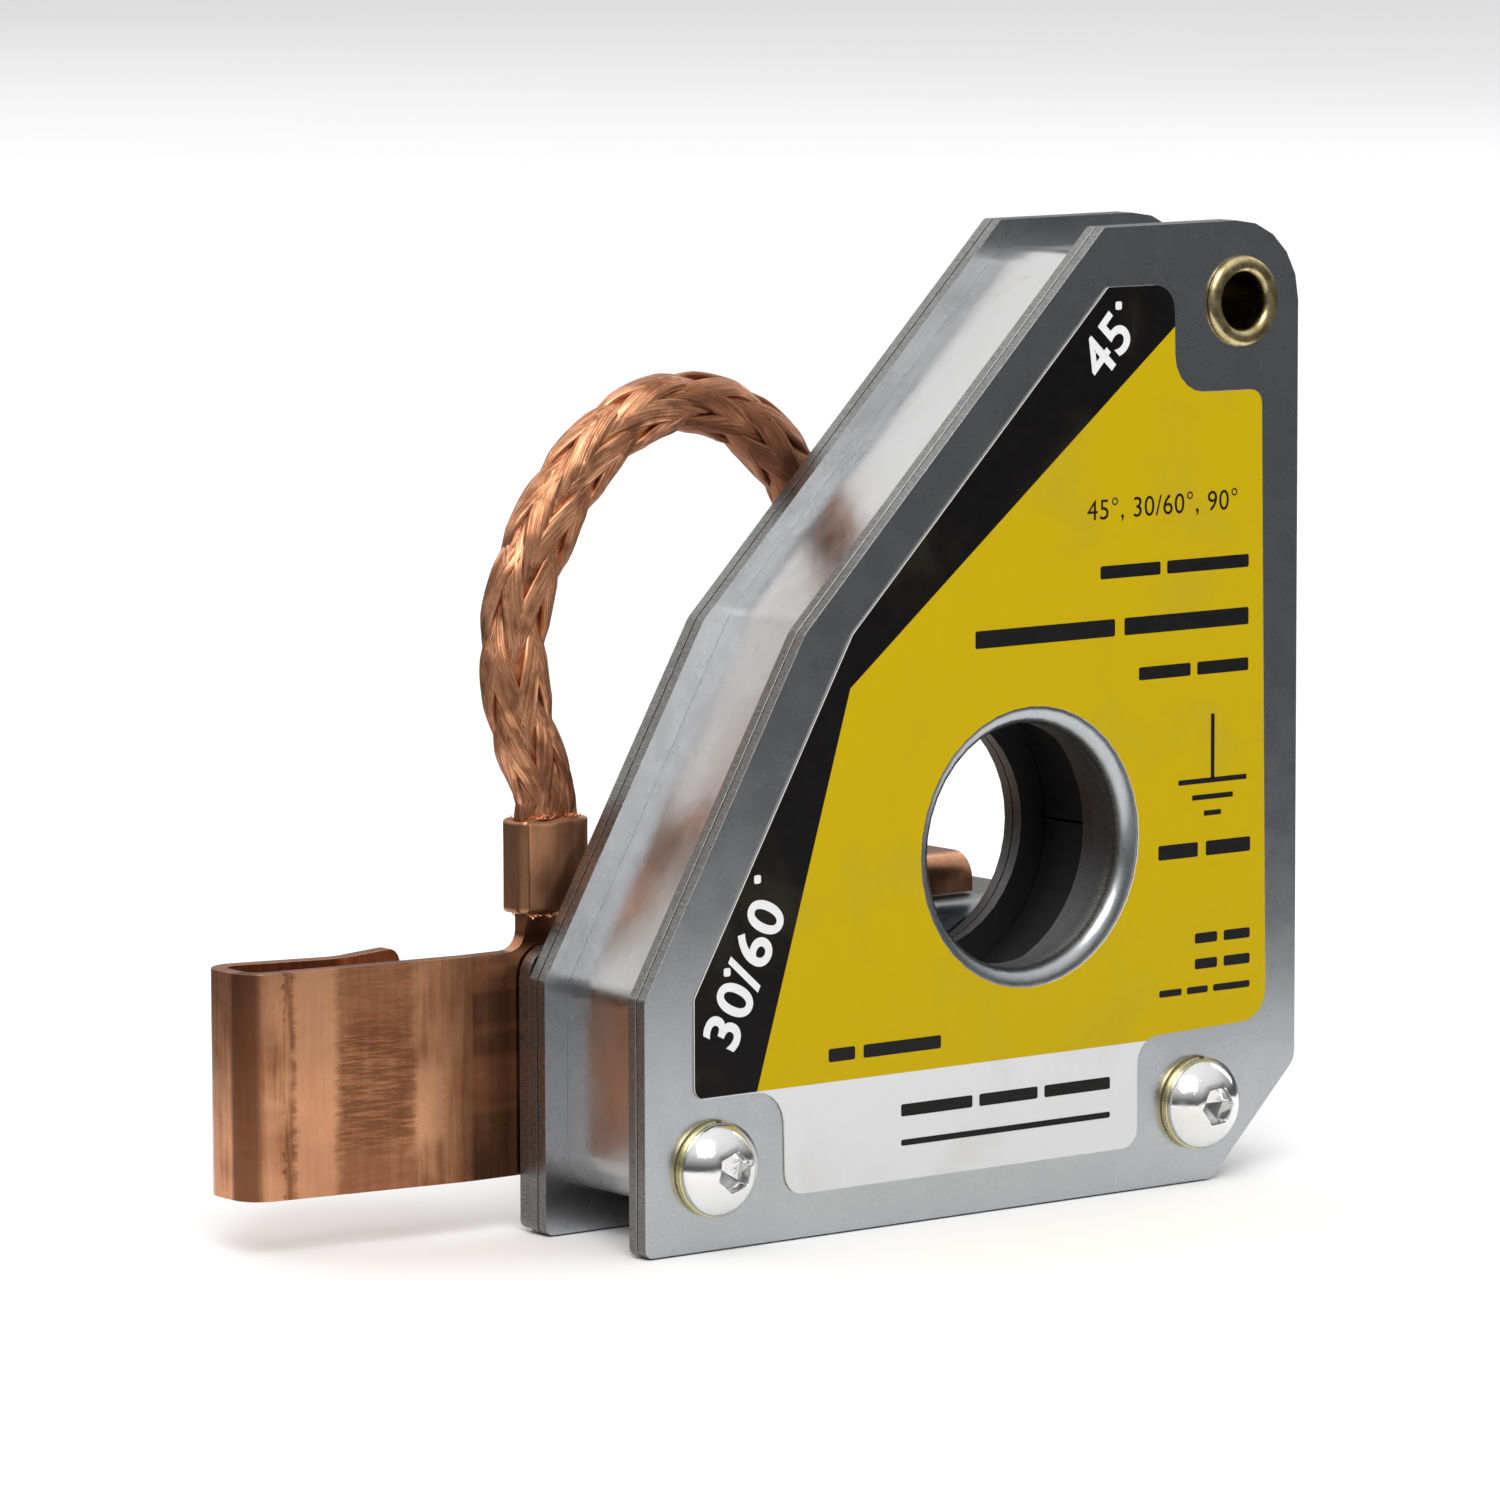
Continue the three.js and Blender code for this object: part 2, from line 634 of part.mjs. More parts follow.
function addBraid() {
  const start = tabFerruleZ + ferrule.height + fit;
  const end = padFerruleZ + ferrule.height + fit;
  const archY = tabMiddle + braid.bow;
  const lead = 2;
  const route = [
    [tabLugX, tabMiddle, start],
    [tabLugX, tabMiddle, start + lead],
    [tabLugX - 1, tabMiddle + 0.3, 52],
    [tabLugX - 2.4, tabMiddle + 0.7, 56],
    [tabLugX - 3.3, tabMiddle + 1.2, 62],
    [tabLugX - 2.9, archY, 68],
    [tabLugX - 0.6, archY, 75],
    [tabLugX + 3.6, archY, 82],
    [tabLugX + 9.6, archY, 88],
    [tabLugX + 17, archY, 91.4],
    [tabLugX + 24.6, archY, 91.2],
    [tabLugX + 31.4, archY, 87.8],
    [tabLugX + 37.2, archY, 81.6],
    [tabLugX + 41, archY, 74.4],
    [tabLugX + 43, padLugY + 1.2, 67],
    [tabLugX + 43.2, padLugY + 0.7, 60.6],
    [padLugX, padLugY, end + lead],
    [padLugX, padLugY, end],
  ];
  const path = new THREE.CatmullRomCurve3(route.map(([x, y, z]) => new THREE.Vector3(x, y, z)));
  const section = new THREE.Shape(ellipse(braid.depth / 2, braid.width / 2, 10));
  const geometry = new THREE.ExtrudeGeometry(section, { steps: 36, bevelEnabled: false, extrudePath: path });
  addPiece('copper_braid', closed(geometry), 'braid');
}

function addContactPad() {
  const half = padStrap / 2;
  const lipBottom = bracketTop + fit;
  const footTipY = padFront + half + 0.6;
  const hood = bentLine([
    [padFront + half, lipBottom, 0],
    [padFront + half, pad.top - half, padBend],
    [pad.back - half, pad.top - half, padBend],
    [pad.back - half, half, padBend],
    [footTipY, half, 0],
  ]);
  const strap = slabX(stripLoop(hood, padStrap), [pad.left, pad.right]);
  const lugSpan = [padFront, padFront + padStrap];
  const lugEnd = padLugLeft + lugWidth;
  const reliefLoop = rectangle(pad.left - 1, padRelief.bottom, lugEnd + padRelief.side, pad.top + 1);
  const relief = slabY(reliefLoop, [padFront - 1, padFront + padRelief.depth]);
  const lugBase = pad.top - 1.5;
  const lug = lugPlate(padLugLeft, lugBase, lugSpan);
  const stemRight = lugEnd + padRelief.side - 0.4;
  const lugStem = slabY(rectangle(pad.left, lipBottom, stemRight, lugBase + 0.5), lugSpan);
  const withinStrap = slabY(rectangle(pad.left, 0, pad.right, 90), [0, 60]);
  const pinHoles = Object.values(pinXs).map((x) => slabZ(circle(x, pinY, pinRadius + fit, 20), [-1, 3]));
  const body = joined(cut(strap, relief), lugStem, common(lug, withinStrap));
  addPiece('contact_pad', cut(body, ...pinHoles), 'copper');

  for (const [side, x] of Object.entries(pinXs)) {
    const collar = padStrap + fit;
    const [pinBottom, pinTop] = pinEnds;
    const profile = [
      [0, pinBottom],
      [pinRadius, pinBottom],
      [pinRadius, collar],
      [springRadius, collar],
      [springRadius, collar + pinCollar],
      [pinRadius, collar + pinCollar],
      [pinRadius, pinTop - pinChamfer],
      [pinRadius - pinChamfer, pinTop],
      [0, pinTop],
    ];
    addPiece(`${side}_guide_pin`, turnedZ(profile, x, pinY, 20), 'bright');
    const spring = springAt(x, collar + pinCollar + fit, bracketTop - bracketSheet - fit);
    addPiece(`${side}_pad_spring`, spring, 'spring');
  }
}

// A compression spring between two heights, its end turns lying flat.
function springAt(x, low, high) {
  const radius = springRadius - springWire / 2;
  const bottom = low + springWire / 2;
  const top = high - springWire / 2;
  const flatTurn = 1;
  const flatRise = springWire * 1.1;
  const openRise = top - bottom - 2 * flatRise;
  class Helix extends THREE.Curve {
    getPoint(t, target = new THREE.Vector3()) {
      const turn = t * springTurns;
      const open = THREE.MathUtils.clamp((turn - flatTurn) / (springTurns - 2 * flatTurn), 0, 1);
      const flat = Math.min(turn, flatTurn) + Math.max(turn - springTurns + flatTurn, 0);
      const angle = 2 * Math.PI * turn;
      const height = bottom + flat * flatRise + open * openRise;
      return target.set(x + radius * Math.cos(angle), pinY + radius * Math.sin(angle), height);
    }
  }
  const section = new THREE.Shape(circle(0, 0, springWire / 2, 6));
  const steps = springTurns * 11;
  const coil = { steps, bevelEnabled: false, extrudePath: new Helix() };
  return closed(new THREE.ExtrudeGeometry(section, coil));
}

// ------------------------------------------------------------------- assembly

addPolePlates();
addCore();
addEyelet();
addLabel();
addScrew('left', bracketBack);
addScrew('right', bracketBack);
addBracket();
addClampTab();
addFerrule('tab_ferrule', tabLugX, tabMiddle, tabFerruleZ);
addBraid();
addContactPad();
addFerrule('pad_ferrule', padLugX, padLugY, padFerruleZ);

const extent = new THREE.Box3().setFromObject(group);
const middle = extent.getCenter(new THREE.Vector3());
group.position.set(-middle.x, -middle.y, 0);

export default group;
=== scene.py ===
"""Looks for a grounding magnet with a clamp tab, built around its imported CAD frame.

The plates, tab, pad and fasteners are CAD shapes with rounded edges. The braid, screws, lock
washers, eyelet, ferrules, springs and print have meshes of their own. Their numbers are in
millimetres, as in the CAD source: X from the plates' left edge, Y back from their front face,
Z from the base. at() turns them into the row frame, in metres, which the studio uses.
"""

import json
import math
import random

import bmesh
import bpy
import numpy as np
from mathutils import Matrix, Vector

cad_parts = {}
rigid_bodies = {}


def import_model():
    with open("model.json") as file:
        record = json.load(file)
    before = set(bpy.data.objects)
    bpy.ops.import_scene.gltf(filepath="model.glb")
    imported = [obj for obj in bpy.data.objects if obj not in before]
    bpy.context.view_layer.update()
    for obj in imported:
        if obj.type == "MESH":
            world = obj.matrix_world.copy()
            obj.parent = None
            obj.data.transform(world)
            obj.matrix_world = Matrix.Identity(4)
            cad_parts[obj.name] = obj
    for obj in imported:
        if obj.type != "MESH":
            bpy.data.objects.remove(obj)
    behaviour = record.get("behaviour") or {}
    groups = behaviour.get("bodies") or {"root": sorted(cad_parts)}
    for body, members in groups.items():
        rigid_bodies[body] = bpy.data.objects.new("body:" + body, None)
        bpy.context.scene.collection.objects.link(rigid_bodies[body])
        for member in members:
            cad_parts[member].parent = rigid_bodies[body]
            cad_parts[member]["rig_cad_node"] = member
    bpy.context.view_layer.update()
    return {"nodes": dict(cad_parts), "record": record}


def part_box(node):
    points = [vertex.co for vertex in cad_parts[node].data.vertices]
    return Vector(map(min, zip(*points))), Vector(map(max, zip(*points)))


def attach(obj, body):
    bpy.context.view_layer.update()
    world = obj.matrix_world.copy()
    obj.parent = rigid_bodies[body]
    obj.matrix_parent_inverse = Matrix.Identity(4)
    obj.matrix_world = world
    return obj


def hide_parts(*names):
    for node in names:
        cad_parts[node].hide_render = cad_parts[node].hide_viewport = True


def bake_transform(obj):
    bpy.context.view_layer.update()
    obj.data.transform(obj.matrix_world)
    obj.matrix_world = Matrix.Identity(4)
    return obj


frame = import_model()
nodes = frame["nodes"]

MM = 0.001
plates_low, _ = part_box("front_outer_plate")
LEFT, FRONT = plates_low.x, plates_low.y


def at(x, y, z):
    """A point in the row frame, from millimetres off the plates' left edge, front face and base."""
    return Vector((LEFT + x * MM, FRONT + y * MM, z * MM))


# ---- camera

SENSOR = 36.0
LENS = 206.21
CAMERA_AZIMUTH = math.radians(-37.888)
CAMERA_ELEVATION = math.radians(7.177)
CAMERA_ROLL = math.radians(-0.161)
CAMERA_DISTANCE = 0.94936
CAMERA_AIM = at(14.79, 0, 55.49)


def make_camera():
    data = bpy.data.cameras.new("camera")
    data.lens = LENS
    data.sensor_width = SENSOR
    data.clip_start = 0.05
    data.clip_end = 50
    camera = bpy.data.objects.new("camera", data)
    bpy.context.scene.collection.objects.link(camera)
    back = Vector((
        math.sin(CAMERA_AZIMUTH) * math.cos(CAMERA_ELEVATION),
        -math.cos(CAMERA_AZIMUTH) * math.cos(CAMERA_ELEVATION),
        math.sin(CAMERA_ELEVATION),
    ))
    level_right = (-back).cross(Vector((0, 0, 1))).normalized()
    level_up = level_right.cross(-back)
    right = math.cos(CAMERA_ROLL) * level_right + math.sin(CAMERA_ROLL) * level_up
    up = -math.sin(CAMERA_ROLL) * level_right + math.cos(CAMERA_ROLL) * level_up
    turn = Matrix((right, up, back)).transposed().to_4x4()
    camera.matrix_world = Matrix.Translation(CAMERA_AIM + back * CAMERA_DISTANCE) @ turn
    bpy.context.scene.camera = camera


make_camera()
bpy.context.scene.view_settings.view_transform = "Standard"

# ---- mesh helpers


def link_mesh(name, mesh):
    piece = bpy.data.objects.new(name, mesh)
    bpy.context.scene.collection.objects.link(piece)
    return piece


def new_piece(name, points, faces):
    """A smooth piece from points in the row frame, its faces turned outwards."""
    mesh = bpy.data.meshes.new(name)
    mesh.from_pydata([tuple(p) for p in points], [], [tuple(f) for f in faces])
    work = bmesh.new()
    work.from_mesh(mesh)
    bmesh.ops.recalc_face_normals(work, faces=work.faces)
    work.to_mesh(mesh)
    work.free()
    mesh.shade_smooth()
    return link_mesh(name, mesh)


def grid_faces(rows, columns, close_rows=False):
    """Quads between rings of points, with the last ring joined to the first if close_rows."""
    faces = []
    for r in range(rows if close_rows else rows - 1):
        below = r * columns
        above = (r + 1) % rows * columns
        for c in range(columns):
            d = (c + 1) % columns
            faces.append((below + c, below + d, above + d, above + c))
    return faces


def capped_faces(rows, columns):
    """Quads between rings of points, and a face over the first and the last ring."""
    count = rows * columns
    first, last = tuple(range(columns)), tuple(range(count - columns, count))
    return grid_faces(rows, columns) + [first, last]


def unit(vectors):
    return vectors / np.linalg.norm(vectors, axis=1)[:, None]


def tube(points, radius, sides, taper=1.0):
    """Points and faces of a closed round tube along a line, taper times as thick at its end."""
    line = np.array([tuple(p) for p in points], float)
    tangents = unit(np.gradient(line, axis=0))
    reference = np.array((0.0, 1.0, 0.0))
    if abs(tangents[0] @ reference) > 0.9:
        reference = np.array((1.0, 0.0, 0.0))
    out = []
    for i, (p, t) in enumerate(zip(line, tangents)):
        reference = reference - (reference @ t) * t
        reference /= np.linalg.norm(reference)
        side = np.cross(t, reference)
        here = radius * (1 + (taper - 1) * i / (len(line) - 1))
        for k in range(sides):
            angle = 2 * math.pi * k / sides
            out.append(p + here * (math.cos(angle) * reference + math.sin(angle) * side))
    return out, capped_faces(len(line), sides)


def joined_piece(name, parts):
    """One piece from several lists of points and faces."""
    points, faces = [], []
    for more_points, more_faces in parts:
        first = len(points)
        points.extend(more_points)
        faces.extend(tuple(first + i for i in face) for face in more_faces)
    return new_piece(name, points, faces)


def mark_sharp(piece, degrees):
    """Shade the piece smooth, apart from edges that turn by more than degrees."""
    piece.data.set_sharp_from_angle(angle=math.radians(degrees))
    return piece


def sharpen(piece, degrees):
    """mark_sharp, with normals weighted by face area, so that bevels leave flat faces flat."""
    weighted = mark_sharp(piece, degrees).modifiers.new("weighted", "WEIGHTED_NORMAL")
    weighted.keep_sharp = True
    return piece


MERGE_DISTANCE = 2e-6  # in metres: the CAD mesh has a point of its own for each triangle
FLAT_ANGLE = 1  # triangles that turn by less, in degrees, become one face
BEVEL_ANGLE = 28  # edges that turn by more are rounded
BEVEL_SEGMENTS = 2


def rounded_copy(node, edge, deeper=1.0):
    """The CAD node's shape with its edges rounded by edge millimetres, standing for the node.

    It is made deeper about its middle, along Y, where it closes on the pieces beside it."""
    mesh = bpy.data.meshes.new(f"{node}_round")
    work = bmesh.new()
    work.from_mesh(nodes[node].data)
    bmesh.ops.remove_doubles(work, verts=work.verts, dist=MERGE_DISTANCE)
    bmesh.ops.dissolve_limit(
        work, angle_limit=math.radians(FLAT_ANGLE), verts=work.verts, edges=work.edges)
    corners = [
        e for e in work.edges
        if len(e.link_faces) == 2 and e.calc_face_angle(0) > math.radians(BEVEL_ANGLE)
    ]
    bmesh.ops.bevel(
        work, geom=corners, offset=edge * MM, segments=BEVEL_SEGMENTS, profile=0.5,
        affect="EDGES", clamp_overlap=True, loop_slide=False,
    )
    low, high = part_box(node)
    middle = (low.y + high.y) / 2
    for vert in work.verts:
        vert.co.y = middle + (vert.co.y - middle) * deeper
    work.to_mesh(mesh)
    work.free()
    mesh.shade_smooth()
    piece = link_mesh(f"{node}_body", mesh)
    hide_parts(node)
    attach(piece, body_of[node])
    return sharpen(piece, 40)


body_of = {
    node: body for body, members in frame["record"]["behaviour"]["bodies"].items()
    for node in members
}

# ---- braid

TAB_LUG_X, TAB_Y = 4.9, 24.7
PAD_LUG_X, PAD_Y = 45.4, 24.8
BOW = 1.7
BRAID_START, BRAID_END = 46.7, 52.1
BRAID_LEAD = 2.0
ARCH_Y = TAB_Y + BOW
BRAID_ROUTE = [
    (TAB_LUG_X, TAB_Y, BRAID_START),
    (TAB_LUG_X, TAB_Y, BRAID_START + BRAID_LEAD),
    (TAB_LUG_X - 1, TAB_Y + 0.3, 52),
    (TAB_LUG_X - 2.4, TAB_Y + 0.7, 56),
    (TAB_LUG_X - 3.3, TAB_Y + 1.2, 62),
    (TAB_LUG_X - 2.9, ARCH_Y, 68),
    (TAB_LUG_X - 0.6, ARCH_Y, 75),
    (TAB_LUG_X + 3.6, ARCH_Y, 82),
    (TAB_LUG_X + 9.6, ARCH_Y, 88),
    (TAB_LUG_X + 17, ARCH_Y, 91.4),
    (TAB_LUG_X + 24.6, ARCH_Y, 91.2),
    (TAB_LUG_X + 31.4, ARCH_Y, 87.8),
    (TAB_LUG_X + 37.2, ARCH_Y, 81.6),
    (TAB_LUG_X + 41, ARCH_Y, 74.4),
    (TAB_LUG_X + 43, PAD_Y + 1.2, 67),
    (TAB_LUG_X + 43.2, PAD_Y + 0.7, 60.6),
    (PAD_LUG_X, PAD_Y, BRAID_END + BRAID_LEAD),
    (PAD_LUG_X, PAD_Y, BRAID_END),
]
BRAID_INSIDE = 3.0  # how far the strands run on into each ferrule
BRAID_SAMPLES = 340
CORD_SAMPLES = 60
BRAID_OPENING = 9.0  # length in which the braid widens out of a ferrule
MOUTH_HALF_WIDTH, MOUTH_HALF_DEPTH = 3.75, 1.25
FREE_HALF_DEPTH = 3.0
# Half width at shares of the length: the braid is pinched at the top of its arch.
WIDTH_SHARES = [0, 0.1, 0.3, 0.52, 0.75, 0.92, 1]
HALF_WIDTHS = [3.9, 4.15, 4.3, 3.45, 3.9, 4.1, 3.9]
CARRIERS = 8  # bundles of strands in each direction
BRAID_TURN = 74.0  # length in which a bundle goes once round
BUNDLE_HALF_WIDTH = 1.34
BUNDLE_HALF_DEPTH = 0.55
BUNDLE_LIFT = 0.38  # how far a bundle rises and dips as it crosses the others
BUNDLE_POINTS = 20
RIDGES, RIDGE_HEIGHT = 11, 0.07
WANDER, WANDER_RATE = 0.05, 0.31  # how far bundles stray from an even turn, and how often
CARRIER_STEP = 37.0  # keeps the strand pattern of one bundle off the next one's
CURVE_STEPS = 24


def smooth_line(points, samples):
    """Points evenly along a Catmull-Rom line through the given points, and their distances."""
    p = np.array(points, float)
    p = np.vstack([2 * p[0] - p[1], p, 2 * p[-1] - p[-2]])
    fine = []
    for i in range(1, len(p) - 2):
        for t in np.linspace(0, 1, CURVE_STEPS, endpoint=False):
            fine.append(0.5 * (
                2 * p[i] + (p[i + 1] - p[i - 1]) * t
                + (2 * p[i - 1] - 5 * p[i] + 4 * p[i + 1] - p[i + 2]) * t * t
                + (3 * p[i] - p[i - 1] - 3 * p[i + 1] + p[i + 2]) * t ** 3
            ))
    fine.append(p[-2])
    fine = np.array(fine)
    along = np.concatenate([[0], np.cumsum(np.linalg.norm(np.diff(fine, axis=0), axis=1))])
    spots = np.linspace(0, along[-1], samples)
    return np.stack([np.interp(spots, along, fine[:, k]) for k in range(3)], axis=1), spots


def make_braid():
    """Bundles wound both ways round an oval core, over and under each other in pairs."""
    rng = random.Random(11)
    first, last = BRAID_ROUTE[0], BRAID_ROUTE[-1]
    whole = [
        (first[0], first[1], first[2] - BRAID_INSIDE), *BRAID_ROUTE,
        (last[0], last[1], last[2] - BRAID_INSIDE),
    ]
    line, spots = smooth_line(whole, BRAID_SAMPLES)
    length = spots[-1]
    forward = unit(np.gradient(line, axis=0))
    depth_axis = unit(np.array((0.0, 1.0, 0.0)) - forward[:, 1:2] * forward)
    width_axis = np.cross(forward, depth_axis)

    from_end = np.minimum(spots, length - spots)
    opening = np.clip((from_end - BRAID_INSIDE) / BRAID_OPENING, 0, 1)
    opening = opening * opening * (3 - 2 * opening)
    half_depth = MOUTH_HALF_DEPTH + (FREE_HALF_DEPTH - MOUTH_HALF_DEPTH) * opening
    free_half_width = np.interp(spots / length, WIDTH_SHARES, HALF_WIDTHS)
    half_width = MOUTH_HALF_WIDTH + (free_half_width - MOUTH_HALF_WIDTH) * opening
    lift = BUNDLE_LIFT * opening

    points, faces, across_at, along_at, shade_at = [], [], [], [], []
    for direction in (1, -1):
        for carrier in range(CARRIERS):
            turn = 2 * math.pi * (carrier / CARRIERS + direction * spots / BRAID_TURN)
            turn = turn + WANDER * np.sin(spots * WANDER_RATE + carrier)
            phase = math.pi / 2 * (2 * carrier + direction * 2 * CARRIERS * spots / BRAID_TURN)
            wave = direction * np.clip(1.5 * np.cos(phase), -1, 1)
            inner_depth = half_depth - BUNDLE_HALF_DEPTH - lift
            inner_width = half_width - BUNDLE_HALF_DEPTH - lift
            outward = unit(
                depth_axis * (np.cos(turn) / inner_depth)[:, None]
                + width_axis * (np.sin(turn) / inner_width)[:, None]
            )
            centre = (
                line
                + depth_axis * (inner_depth * np.cos(turn))[:, None]
                + width_axis * (inner_width * np.sin(turn))[:, None]
                + outward * (lift * wave)[:, None]
            )
            heading = unit(np.gradient(centre, axis=0))
            outward = unit(outward - (outward * heading).sum(1)[:, None] * heading)
            side = np.cross(outward, heading)
            ridge_phase = rng.random() * 6
            width = BUNDLE_HALF_WIDTH * (0.93 + 0.14 * rng.random()) * (0.86 + 0.14 * opening)
            start = len(points)
            for k in range(BUNDLE_POINTS):
                angle = 2 * math.pi * k / BUNDLE_POINTS
                u = math.cos(angle)
                v = math.sin(angle)
                swell = abs(v) ** 0.7 * math.copysign(1, v)
                ridge = RIDGE_HEIGHT * math.sin(RIDGES * u + ridge_phase) * max(v, 0)
                height = BUNDLE_HALF_DEPTH * swell + ridge
                points.append(centre + side * (width * u)[:, None] + outward * height)
                across_at.append(np.full(len(spots), u * BUNDLE_HALF_WIDTH))
                order = carrier + (CARRIERS if direction < 0 else 0)
                along_at.append(spots + CARRIER_STEP * order)
                shade_at.append(np.full(len(spots), rng.random()))
            n = len(spots)
            for k in range(BUNDLE_POINTS):
                a = (start + k) * n
                b = (start + (k + 1) % BUNDLE_POINTS) * n
                faces.extend((a + i, b + i, b + i + 1, a + i + 1) for i in range(n - 1))
            faces.append(tuple((start + k) * n for k in range(BUNDLE_POINTS)))
            faces.append(tuple((start + k) * n + n - 1 for k in reversed(range(BUNDLE_POINTS))))
    everywhere = np.concatenate(points) * MM + np.array((LEFT, FRONT, 0))
    piece = new_piece("braid_strands", everywhere, faces)
    for name, values in (("across", across_at), ("along", along_at), ("shade", shade_at)):
        attribute = piece.data.attributes.new(name, "FLOAT", "POINT")
        attribute.data.foreach_set("value", np.concatenate(values).astype(np.float32))
    return piece


braid = make_braid()
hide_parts("copper_braid")
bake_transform(braid)
route, route_spots = smooth_line(BRAID_ROUTE, CORD_SAMPLES)

# ---- materials


def scaled(colour, factor):
    return tuple(factor * c for c in colour)


class Look:
    """A material around one Principled shader, with short calls for the nodes it needs."""

    def __init__(self, name, **settings):
        self.material = bpy.data.materials.new(name)
        self.material.use_nodes = True
        self.tree = self.material.node_tree
        self.tree.nodes.clear()
        self.shader = self.new("ShaderNodeBsdfPrincipled")
        output = self.new("ShaderNodeOutputMaterial")
        self.feed(output.inputs["Surface"], self.shader.outputs["BSDF"])
        for socket, value in settings.items():
            self.set(socket.replace("_", " "), value)
        self.coordinates = self.new("ShaderNodeTexCoord")

    def new(self, kind):
        return self.tree.nodes.new(kind)

    def feed(self, socket, value):
        if isinstance(value, bpy.types.NodeSocket):
            self.tree.links.new(value, socket)
        else:
            socket.default_value = value

    def set(self, socket, value):
        self.feed(self.shader.inputs[socket], value)

    def math(self, operation, a, b=0.0, kind="ShaderNodeMath"):
        made = self.new(kind)
        made.operation = operation
        self.feed(made.inputs[0], a)
        self.feed(made.inputs[1], b)
        return made.outputs[0]

    def times(self, first, *others):
        for other in others:
            first = self.math("MULTIPLY", first, other)
        return first

    def plus(self, a, b):
        return self.math("ADD", a, b)

    def minus(self, a, b):
        return self.math("SUBTRACT", a, b)

    def place(self, stretch=(1, 1, 1)):
        """The point in millimetres off the plates' left edge, front face and base, stretched."""
        vector_math, point = "ShaderNodeVectorMath", self.coordinates.outputs["Object"]
        off = self.math("SUBTRACT", point, (LEFT, FRONT, 0), vector_math)
        return self.math("MULTIPLY", off, scaled(stretch, 1 / MM), vector_math)

    def xyz(self, vector):
        split = self.new("ShaderNodeSeparateXYZ")
        self.feed(split.inputs[0], vector)
        return split.outputs

    def vector(self, *numbers):
        made = self.new("ShaderNodeCombineXYZ")
        for socket, value in zip(made.inputs, numbers):
            self.feed(socket, value)
        return made.outputs[0]

    def from_axis(self, x, z):
        """The distance in millimetres from a line along Y through x and z."""
        point_x, _, point_z = self.xyz(self.place())
        off_x, off_z = self.minus(point_x, x), self.minus(point_z, z)
        return self.math("SQRT", self.plus(self.times(off_x, off_x), self.times(off_z, off_z)))

    def attribute(self, name):
        made = self.new("ShaderNodeAttribute")
        made.attribute_name = name
        return made.outputs["Fac"]

    def noise(self, scale, stretch=(1, 1, 1), detail=3.0, rough=0.55, distortion=0.0, vector=None):
        made = self.new("ShaderNodeTexNoise")
        self.feed(made.inputs["Vector"], vector or self.place(stretch))
        for key, number in (
            ("Scale", scale), ("Detail", detail), ("Roughness", rough), ("Distortion", distortion),
        ):
            made.inputs[key].default_value = number
        return made.outputs[0]

    def between(self, value, low, high, to_low=0.0, to_high=1.0):
        """to_low at low, to_high at high and a smooth step between them."""
        made = self.new("ShaderNodeMapRange")
        made.interpolation_type = "SMOOTHSTEP"
        self.feed(made.inputs["Value"], value)
        for key, number in (
            ("From Min", low), ("From Max", high), ("To Min", to_low), ("To Max", to_high),
        ):
            made.inputs[key].default_value = number
        return made.outputs[0]

    def mix(self, share, a, b):
        made = self.new("ShaderNodeMix")
        made.data_type = "RGBA"
        self.feed(made.inputs["Factor"], share)
        sockets = [s for s in made.inputs if s.type == "RGBA"]
        for socket, tone in zip(sockets, (a, b)):
            self.feed(socket, tone if isinstance(tone, bpy.types.NodeSocket) else (*tone, 1))
        return next(s for s in made.outputs if s.type == "RGBA")

    def colour(self, share, a, b):
        """Mix two colours, or what stands for them, into the base colour."""
        self.tone = self.mix(share, a, b)
        self.set("Base Color", self.tone)

    def stain(self, mask, colour, share=None):
        """Lay a colour over the base colour so far where mask is 1, no stronger than share."""
        self.colour(mask if share is None else self.times(mask, share), self.tone, colour)

    def rough(self, value, low, high):
        """Roughness from low to high, as a noise goes from dark to light."""
        self.set("Roughness", self.between(value, 0.3, 0.7, low, high))

    def bump(self, height, depth, strength):
        """Relief from height, as deep as depth millimetres."""
        made = self.new("ShaderNodeBump")
        for key, value in (("Strength", strength), ("Distance", depth * MM), ("Height", height)):
            self.feed(made.inputs[key], value)
        self.set("Normal", made.outputs[0])

    def edge_mask(self):
        """1 on faces that look along X or Z, 0 on faces that look along Y."""
        facing = self.math("ABSOLUTE", self.xyz(self.coordinates.outputs["Normal"])[1])
        return self.between(facing, 0.45, 0.75, 1.0, 0.0)


HOLE_X, HOLE_Z = 55, 41.2
HOLE_SHADE_RADII = (18.6, 17.4)  # painted shade darkens the plates within the hole, behind its lip
HOLE_SHADE_FRONT = (1.6, 3.4)
HOLE_SHADE_BACK = (21.5, 21.2)
EYELET_X, EYELET_Z = 86.5, 101.8
EYELET_BORE_RADII = (3.7, 3.2)


